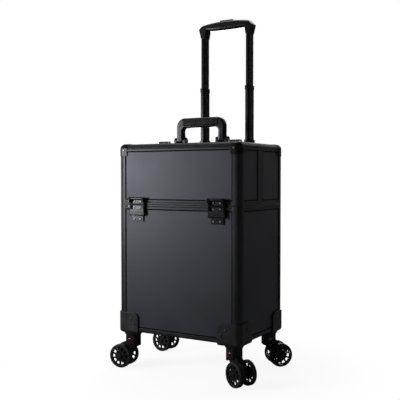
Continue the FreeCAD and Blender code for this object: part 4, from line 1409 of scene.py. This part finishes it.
@dataclass
class Latches(Assembly):
    """Draw latches on the front: plates, keepers, and flaps with ridged finger tabs."""

    soft: float = 0.0005
    pin_soft: float = 0.0003
    ridge_count: int = 3
    ridge_step: float = 0.0026
    ridge_up: float = 0.0045
    ridge_inset: float = 0.005
    ridge_half: float = 0.0006
    ridge_depth: float = 0.0010
    thin: float = 0.55
    thin_from: float = 0.0135
    thick_to: float = 0.0095
    tab_high: float = 0.0155
    border: float = 0.0028

    def flap(self, node: str, body: Body) -> None:
        """Cut finger grooves into a flap's tab, thin the flap, and set a satin face into the tab.

        Args:
            node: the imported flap.
            body: the latch that it rides on.
        """
        piece = Bench.from_node(node, node + "_dressed")
        low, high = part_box(node)
        for index in range(self.ridge_count):
            z = low.z + self.ridge_up + index * self.ridge_step
            tool = Bench.block("finger_groove",
                               (low.x + self.ridge_inset, low.y - TOOL_PROUD, z - self.ridge_half),
                               (high.x - self.ridge_inset, low.y + self.ridge_depth, z + self.ridge_half))
            Bench.cut(piece, tool)
        thin_top = high.z - self.thin_from
        for z in (thin_top, high.z - self.thick_to):
            Bench.slice(piece, (0, 0, z), (0, 0, 1))
        Bench.draw_in(piece, lambda place, normal: place.z < thin_top, (1, self.thin, 1), (0, high.y, 0))
        Bench.tidy(piece)
        left, right = low.x + self.border, high.x - self.border
        bottom, top = low.z + self.border, low.z + self.tab_high
        for x in (left, right):
            Bench.slice(piece, (x, 0, 0), (1, 0, 0))
        for z in (top, bottom):
            Bench.slice(piece, (0, 0, z), (0, 0, 1))
        Bench.soften(piece, self.soft)
        self.dress(piece, LATCH_BLACK)
        piece.data.materials.append(SATIN_PLATE.material())
        for face in piece.data.polygons:
            inside = left < face.center.x < right and bottom < face.center.z < top
            if inside and face.normal.y < -LOOKS:
                face.material_index = 1
        self.hand_over(piece, body, "black_hardware", [node])

    def build(self) -> None:
        """Dress the plates, keepers, pins and flaps."""
        self.refine("latch_plates", Body.LID, "black_hardware", SATIN_PLATE, self.soft)
        self.refine("latch_pins", Body.LID, "steel_pin", STEEL, self.pin_soft)
        self.refine("latch_keepers", Body.CASE, "black_hardware", SATIN_PLATE, self.soft)
        self.flap("left_latch_flap", Body.LEFT_LATCH)
        self.flap("right_latch_flap", Body.RIGHT_LATCH)


@dataclass
class CarryHandle(Assembly):
    """Folding carry handle with a ribbed soft grip, ears and pins."""

    groove_count: int = 4
    groove_half: float = 0.0008
    groove_depth: float = 0.0014
    groove_inset: float = 0.004
    recess_margin: float = 0.002
    frame_round: float = 0.0045
    frame_steps: int = 4
    frame_angle: float = 50.0
    frame_soft: float = 0.0006
    grip_soft: float = 0.0004
    bracket_soft: float = 0.0006
    pin_soft: float = 0.0003

    def grip(self) -> None:
        """Soft grip with grooves along it on both faces."""
        piece = Bench.from_node("carry_handle_grip", "carry_handle_grip_ribbed")
        low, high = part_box("carry_handle_grip")
        step = (high.z - low.z) / (self.groove_count + 1)
        for index in range(self.groove_count):
            z = low.z + step * (index + 1)
            for face, inward in ((low.y, 1), (high.y, -1)):
                reach = sorted((face - inward * TOOL_PROUD, face + inward * self.groove_depth))
                tool = Bench.block("grip_groove", (low.x + self.groove_inset, reach[0], z - self.groove_half),
                                   (high.x - self.groove_inset, reach[1], z + self.groove_half))
                Bench.cut(piece, tool)
        Bench.soften(piece, self.grip_soft)
        self.hand_over(self.dress(piece, SOFT_GRIP), Body.HANDLE, "soft_grip", ["carry_handle_grip"])

    def bail(self) -> None:
        """Frame with well rounded long edges, sharper round the grip's recess and the pivots."""
        node = "carry_handle_frame"
        low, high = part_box("carry_handle_grip")
        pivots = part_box("handle_brackets")[1].z
        spare = self.recess_margin

        def is_outer(middle: Vector) -> bool:
            """Tell whether an edge lies above the pivots and away from the grip's recess.

            Args:
                middle: the middle of the edge.

            Returns:
                Whether it does.
            """
            beside = low.x - spare < middle.x < high.x + spare
            level = low.z - spare < middle.z < high.z + spare
            return middle.z > pivots and not (beside and level)

        piece = Bench.from_node(node, node + "_dressed")
        Bench.soften(piece, self.frame_round, self.frame_steps, self.frame_angle, is_outer)
        Bench.soften(Bench.tidy(piece), self.frame_soft)
        self.hand_over(self.dress(piece, HANDLE_PLASTIC), Body.HANDLE, "handle_plastic", [node])

    def build(self) -> None:
        """Dress the frame, the grip, the ears and the pins."""
        self.bail()
        self.grip()
        self.refine("handle_brackets", Body.CASE, "black_hardware", PLATING, self.bracket_soft)
        self.refine("handle_pins", Body.CASE, "steel_pin", STEEL, self.pin_soft)


@dataclass
class Trolley(Assembly):
    """Telescopic tubes with collars, brackets on the back, and the pull grip with its button."""

    soft: float = 0.0005
    tube_soft: float = 0.0002
    button_soft: float = 0.0004
    grip_angle: float = 55.0

    def build(self) -> None:
        """Dress the tubes, collars, brackets, grip and release."""
        for node, body in (("trolley_outer_tubes", Body.CASE), ("lower_stage_tubes", Body.LOWER_STAGE),
                           ("upper_stage_tubes", Body.UPPER_STAGE)):
            self.refine(node, body, "trolley_tube", TUBE, self.tube_soft, 1)
        for node, body in (("trolley_collars", Body.CASE), ("lower_stage_collars", Body.LOWER_STAGE),
                           ("trolley_top_clamp", Body.CASE), ("trolley_foot_bracket", Body.CASE)):
            self.refine(node, body, "handle_plastic", HANDLE_PLASTIC, self.soft)
        grip = Bench.from_node("pull_grip", "pull_grip_dressed")
        Bench.soften(grip, self.soft, angle=self.grip_angle)
        self.hand_over(self.dress(grip, HANDLE_PLASTIC), Body.UPPER_STAGE, "handle_plastic", ["pull_grip"])
        self.refine("release_button", Body.RELEASE, "button_plastic", BUTTON_PLASTIC, self.button_soft)
        self.paint("release_rods", STEEL)


@dataclass
class Corner:
    """Where one caster stands: its stem, its axle and the matrix to its place."""

    name: str

    def __post_init__(self) -> None:
        """Take the places from the frame's joints."""
        joints = {joint["name"]: joint for joint in frame["joints"]}
        stem = Vector(joints[self.name + "_swivel"]["pos_m"])
        axle = Vector(joints[self.name + "_port_roll"]["pos_m"])
        reach = axle - stem
        heading = math.atan2(reach.y, reach.x)
        self.hub_place = Matrix.Translation((math.hypot(reach.x, reach.y), 0, axle.z))
        self.stand = Matrix.Translation((stem.x, stem.y, 0)) @ Matrix.Rotation(heading, 4, "Z")


@dataclass
class Casters(Assembly):
    """Four twin-wheel swivel casters with their corner brackets."""

    names: tuple[str, ...] = ("front_left", "front_right", "rear_left", "rear_right")
    sides: int = 72
    smooth_angle: float = 35.0
    radius: float = 0.0305
    wheel_in: float = 0.011
    wheel_out: float = 0.025
    rim_radius: float = 0.0238
    rim_inside: float = 0.0288
    bore_over: float = 0.0005
    tread_round: float = 0.0032
    tread_steps: int = 5
    tread_lip: float = 0.0012
    tread_floor: float = 0.0005
    tread_sunk: float = 0.972
    web_over: float = 0.0004
    web_sunk: float = 0.0013
    web_thick: float = 0.0034
    web_soft: float = 0.0003
    window_count: int = 10
    window_in: float = 0.0146
    window_out: float = 0.0215
    window_wide: float = 0.0094
    window_narrow: float = 0.55
    window_round: float = 0.0014
    window_steps: int = 4
    pocket_in: float = 0.0075
    pocket_out: float = 0.0132
    pocket_around: float = 0.0036
    pocket_narrow: float = 0.5
    pocket_depth: float = 0.0008
    boss_sides: int = 40
    boss_radius: float = 0.0058
    boss_back: float = 0.0006
    boss_proud: float = 0.0005
    boss_round: float = 0.0018
    boss_steps: int = 4
    dish_rim: float = 0.0012
    dish_depth: float = 0.0006
    axle_sides: int = 24
    axle_radius: float = 0.0032
    axle_bore: float = 0.004
    inlay_sides: int = 40
    inlay_long: float = 0.0070
    inlay_high: float = 0.0046
    inlay_proud: float = 0.0012
    inlay_dome: float = 0.9
    inlay_steps: int = 5
    inlay_smooth: float = 50.0
    inlay_z: float = 0.0735
    housing_half: float = 0.0165
    housing_soft: float = 0.0009
    bracket_soft: float = 0.0008
    soft_steps: int = 3
    skirt_sides: int = 56
    skirt_high: float = 0.0115
    skirt_top: float = 0.0268
    skirt_foot: float = 0.0203
    skirt_wall: float = 0.0015
    skirt_soft: float = 0.0006

    def skirt(self, corner: Corner) -> None:
        """Flared skirt between a corner bracket and its caster.

        Args:
            corner: the caster's place.
        """
        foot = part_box(corner.name + "_caster_bracket")[0].z
        middle = corner.stand @ Vector((0, 0, foot + self.skirt_high / 2))
        piece = Bench.drum(corner.name + "_skirt", middle, self.skirt_foot, self.skirt_high, Axis.Z,
                           self.skirt_sides)
        flare = self.skirt_top / self.skirt_foot
        Bench.draw_in(piece, lambda place, normal: normal.z > LOOKS, (flare, flare, 1), middle)
        bore = Bench.drum("skirt_bore", middle, self.skirt_foot - self.skirt_wall, 2 * self.skirt_high,
                          Axis.Z, self.skirt_sides)
        Bench.soften(Bench.cut(piece, bore), self.skirt_soft)
        self.hand_over(self.dress(piece, MOULDING), Body.CASE, "moulded_corner")

    def tyre(self) -> Piece:
        """Make a tyre with rounded shoulders and a shallow groove round its tread.

        Returns:
            The tyre, about the Y axis.
        """
        middle = (self.wheel_in + self.wheel_out) / 2
        width = self.wheel_out - self.wheel_in
        piece = Bench.drum("tyre", (0, middle, 0), self.radius, width, Axis.Y, self.sides)
        for offset in (-self.tread_lip, -self.tread_floor, self.tread_floor, self.tread_lip):
            Bench.slice(piece, (0, middle + offset, 0), (0, 1, 0))
        Bench.draw_in(piece, lambda place, normal: abs(place.y - middle) < self.tread_floor,
                      (self.tread_sunk, 1, self.tread_sunk), (0, middle, 0))
        Bench.bevel(piece, lambda place, way: abs(abs(place.y - middle) - width / 2) < NEAR
                    and abs(way.y) < SQUARE, self.tread_round, self.tread_steps)
        bore = Bench.drum("tyre_bore", (0, middle, 0), self.rim_radius, width + 2 * self.bore_over, Axis.Y,
                          self.sides)
        flare = self.rim_inside / self.rim_radius
        Bench.draw_in(bore, lambda place, normal: normal.y < -LOOKS, (flare, 1, flare), (0, 0, 0))
        return self.dress(Bench.smooth(Bench.cut(piece, bore), self.smooth_angle), TYRE)

    def window(self, low: float, high: float) -> Piece:
        """Make the tool for one rounded window, narrower towards the axle.

        Args:
            low: inner face of the web.
            high: outer face of the web.

        Returns:
            The tool, on the X axis.
        """
        tool = Bench.block("window", (self.window_in, low - TOOL_OVERRUN, -self.window_wide / 2),
                           (self.window_out, high + TOOL_OVERRUN, self.window_wide / 2))
        Bench.draw_in(tool, lambda place, normal: normal.x < -LOOKS, (1, 1, self.window_narrow), (0, 0, 0))
        Bench.bevel(tool, lambda place, way: abs(way.y) > LOOKS, self.window_round, self.window_steps)
        return tool

    def pocket(self, high: float) -> Piece:
        """Make the tool for one shallow pocket in the web's outer face, narrower towards the axle.

        Args:
            high: outer face of the web.

        Returns:
            The tool, on the X axis.
        """
        tool = Bench.block("pocket", (self.pocket_in, high - self.pocket_depth, -self.pocket_around / 2),
                           (self.pocket_out, high + TOOL_OVERRUN, self.pocket_around / 2))
        Bench.draw_in(tool, lambda place, normal: normal.x < -LOOKS, (1, 1, self.pocket_narrow), (0, 0, 0))
        return tool

    def boss(self, high: float) -> Piece:
        """Make the boss on the axle, with a rounded and dished end.

        Args:
            high: outer face of the web.

        Returns:
            The boss.
        """
        foot = self.wheel_in + self.boss_back
        middle = (foot + high) / 2 + self.boss_proud
        cap = Bench.drum("hub_cap", (0, middle, 0), self.boss_radius, high - foot, Axis.Y, self.boss_sides)
        Bench.bevel(cap, lambda place, way: place.y > high and abs(way.y) < SQUARE,
                    self.boss_round, self.boss_steps)
        Bench.sink(cap, lambda place, normal: normal.y > STRAIGHT, self.dish_rim, (0, -self.dish_depth, 0))
        bore = Bench.drum("hub_bore", (0, foot, 0), self.axle_radius, self.axle_bore, Axis.Y, self.axle_sides)
        return Bench.smooth(Bench.cut(cap, bore), self.smooth_angle)

    def hub(self) -> Piece:
        """Make a thin spoked web near the outer face, open behind, with a boss on the axle.

        Returns:
            The hub, about the Y axis.
        """
        high = self.wheel_out - self.web_sunk
        low = high - self.web_thick
        piece = Bench.drum("hub", (0, (low + high) / 2, 0), self.rim_radius + self.web_over, high - low,
                           Axis.Y, self.sides)
        for index in range(self.window_count):
            turn = Matrix.Rotation(2 * math.pi * index / self.window_count, 4, "Y")
            for tool in (self.window(low, high), self.pocket(high)):
                tool.data.transform(turn)
                Bench.cut(piece, tool)
        Bench.soften(Bench.tidy(piece), self.web_soft)
        return self.dress(Bench.join("hub", [piece, self.boss(high)]), HUB_PLASTIC)

    def wheel(self) -> Piece:
        """A whole wheel about the Y axis, its outer face towards +Y."""
        return Bench.join("wheel_pattern", [self.tyre(), self.hub()])

    def inlay(self) -> Piece:
        """Make an oval dome that lies on a face towards +Y.

        Returns:
            The dome, with its base on the origin.
        """
        proud = self.inlay_proud
        dome = proud * self.inlay_dome
        piece = Bench.drum("inlay", (0, proud / 2, 0), 1.0, proud, Axis.Y, self.inlay_sides)
        piece.data.transform(Matrix.Diagonal((self.inlay_long, 1, self.inlay_high, 1)))
        Bench.bevel(piece, lambda place, way: place.y > dome, dome, self.inlay_steps)
        return Bench.smooth(self.dress(piece, RED), self.inlay_smooth)

    def build(self) -> None:
        """Dress the brackets and housings, and set the wheels and inlays on each caster."""
        pattern = self.wheel()
        dome = self.inlay()
        flip = Matrix.Rotation(math.pi, 4, "Z")
        for corner in (Corner(name) for name in self.names):
            caster = corner.name + "_caster"
            self.refine(caster + "_bracket", Body.CASE, "moulded_corner", MOULDING, self.bracket_soft,
                        self.soft_steps)
            self.skirt(corner)
            self.refine(caster + "_housing", caster, "caster_plastic", CASTER_PLASTIC, self.housing_soft,
                        self.soft_steps)
            for side, turn in (("port", Matrix.Identity(4)), ("starboard", flip)):
                name = "%s_%s_wheel" % (corner.name, side)
                wheel = Bench.copy(pattern, name + "_spoked", corner.stand @ corner.hub_place @ turn)
                self.hand_over(wheel, name, "wheel_plastic", [name])
                face = Matrix.Translation((0, self.housing_half, self.inlay_z))
                badge = Bench.copy(dome, name + "_inlay", corner.stand @ turn @ face)
                self.hand_over(badge, caster, "button_plastic")
        bpy.data.objects.remove(pattern)
        bpy.data.objects.remove(dome)


@dataclass
class Inside(Assembly):
    """Lift-out tray with cells and the ledges that it stands on."""

    soft: float = 0.0005

    def build(self) -> None:
        """Dress the tray and its ledges."""
        self.refine("lift_out_tray", Body.TRAY, "tray_plastic", TRAY_PLASTIC, self.soft)
        self.refine("tray_ledges", Body.CASE, "tray_plastic", TRAY_PLASTIC, self.soft)


# Studio


@dataclass
class Lamp:
    """One soft box: where it stands, where it aims, its sides and its power."""

    name: str
    place: Triple
    aim: Triple
    size: tuple[float, float]
    watts: float


@dataclass
class Card:
    """One card: where it hangs, its turn in degrees, its sides and its grey."""

    name: str
    place: Triple
    turn: Triple
    size: tuple[float, float]
    grey: float = 0.013


@dataclass
class Studio:
    """Pale floor, soft boxes, white surroundings and the camera of the photograph."""

    camera_place: Triple = (0.923, -1.558, 0.493)
    camera_turn: Triple = (88.16, 0.0, 30.75)
    lens: float = 62.7
    sensor: float = 36.0
    ambient: float = 0.15
    floor_side: float = 30.0
    floor_greys: tuple[float, float] = (0.84, 0.86)
    glow_near: float = 0.90
    glow_far: float = 1.0
    near_radius: float = 0.24
    far_radius: float = 0.52
    card_lift: float = 0.0006

    def lamps(self) -> list[Lamp]:
        """The soft boxes."""
        return [Lamp("key_box", (-0.85, -0.86, 0.55), (-0.1, -0.1, 0.49), (0.34, 0.44), 16.5),
                Lamp("top_box", (-0.3, 0.3, 2.2), (0, 0, 0.3), (1.6, 1.2), 26),
                Lamp("rear_box", (-0.5, 1.7, 0.6), (0, 0.15, 0.4), (1.0, 0.8), 16)]

    def cards(self) -> list[Card]:
        """Grey cards that only reflections see: along the right, behind the camera, overhead and below."""
        return [Card("right_card", (1.9, 2.2, 1.2), (0, 90, 0), (3.2, 10.0), 0.22),
                Card("front_card", (0.45, -2.7, 1.2), (90, 0, 0), (3.9, 3.2)),
                Card("ceiling_card", (0.0, 0.0, 2.6), (0, 0, 0), (5.0, 5.0)),
                Card("left_floor_card", (-1.85, 0.0, self.card_lift), (0, 0, 0), (4.0, 8.0)),
                Card("right_floor_card", (2.15, 0.0, self.card_lift), (0, 0, 0), (4.0, 8.0), 0.20)]

    def hang_cards(self) -> None:
        """Hang the cards."""
        for card in self.cards():
            graph = Graph(bpy.data.materials.new(card.name))
            cloth = graph.blend(graph.noise(12.0, 2.0), shade(card.grey * 0.8), shade(card.grey * 1.2))
            material = graph.dress(Base_Color=cloth, Roughness=0.95, Specular_IOR_Level=0.0)
            Bench.clear()
            turn = [math.radians(angle) for angle in card.turn]
            bpy.ops.mesh.primitive_plane_add(size=1, location=card.place, rotation=turn)
            plane = bpy.context.object
            plane.scale = (*card.size, 1)
            Bench.settle(plane, card.name)
            plane.data.materials.append(material)
            plane.visible_camera = plane.visible_diffuse = plane.visible_shadow = False

    def light(self) -> None:
        """Hang the soft boxes."""
        for lamp in self.lamps():
            data = bpy.data.lights.new(lamp.name, "AREA")
            data.shape = "RECTANGLE"
            data.size, data.size_y = lamp.size
            data.energy = lamp.watts
            holder = bpy.data.objects.new(lamp.name, data)
            holder.location = lamp.place
            holder.visible_camera = False
            way = Vector(lamp.aim) - Vector(lamp.place)
            holder.rotation_euler = way.to_track_quat("-Z", "Y").to_euler()
            bpy.context.scene.collection.objects.link(holder)

    def surround(self) -> None:
        """White for what the camera and reflections see, and a dim even light for the rest."""
        world = bpy.data.worlds.new("white_surround")
        bpy.context.scene.world = world
        graph = Graph(world)
        white = graph.add("ShaderNodeBackground", inputs={"Color": (1, 1, 1, 1), "Strength": 1.0})
        dim = graph.add("ShaderNodeBackground", inputs={"Color": (1, 1, 1, 1), "Strength": self.ambient})
        graph.close(graph.add("ShaderNodeMixShader", inputs={0: graph.background_ray(), 1: dim, 2: white}))

    def floor(self) -> None:
        """A wide pale floor that keeps a soft shadow."""
        Bench.clear()
        bpy.ops.mesh.primitive_plane_add(size=self.floor_side, location=(0, 0, 0))
        floor = Bench.settle(bpy.context.object, "floor")
        graph = Graph(bpy.data.materials.new("pale_floor"))
        colour = graph.tones(graph.noise(3.0), 1.0, self.floor_greys, 0.0)
        plain = graph.surface(Base_Color=colour, Roughness=0.9, Specular_IOR_Level=0.2)
        glow = graph.add("ShaderNodeEmission", inputs={"Color": (1, 1, 1, 1), "Strength": 1.0})
        x, y, _ = graph.split(graph.place())
        away = graph.add("ShaderNodeMath", {"operation": "SQRT"}, {0: x * x + y * y})
        seen = graph.background_ray() * graph.remap(away, self.near_radius, self.far_radius, self.glow_near,
                                                    self.glow_far)
        mixed = graph.add("ShaderNodeMixShader", inputs={0: seen, 1: plain, 2: glow})
        floor.data.materials.append(graph.close(mixed))

    def camera(self) -> None:
        """Set up the camera where the photograph was taken."""
        data = bpy.data.cameras.new("photo_camera")
        data.sensor_width = self.sensor
        data.lens = self.lens
        camera = bpy.data.objects.new("photo_camera", data)
        camera.location = self.camera_place
        camera.rotation_euler = Euler([math.radians(angle) for angle in self.camera_turn])
        bpy.context.scene.collection.objects.link(camera)
        bpy.context.scene.camera = camera

    def build(self) -> None:
        """Set up the whole studio."""
        bpy.context.scene.view_settings.view_transform = "Standard"
        self.camera()
        self.light()
        self.hang_cards()
        self.surround()
        self.floor()


def main() -> None:
    """Build every sub-assembly and the studio."""
    logging.basicConfig(level=logging.INFO, format="%(name)s: %(message)s")
    for assembly in (CaseShell, Fasteners, Hinges, Latches, CarryHandle, Trolley, Casters, Inside):
        assembly().build()
    Studio().build()
    Bench.clear()


if __name__ == "__main__":
    main()
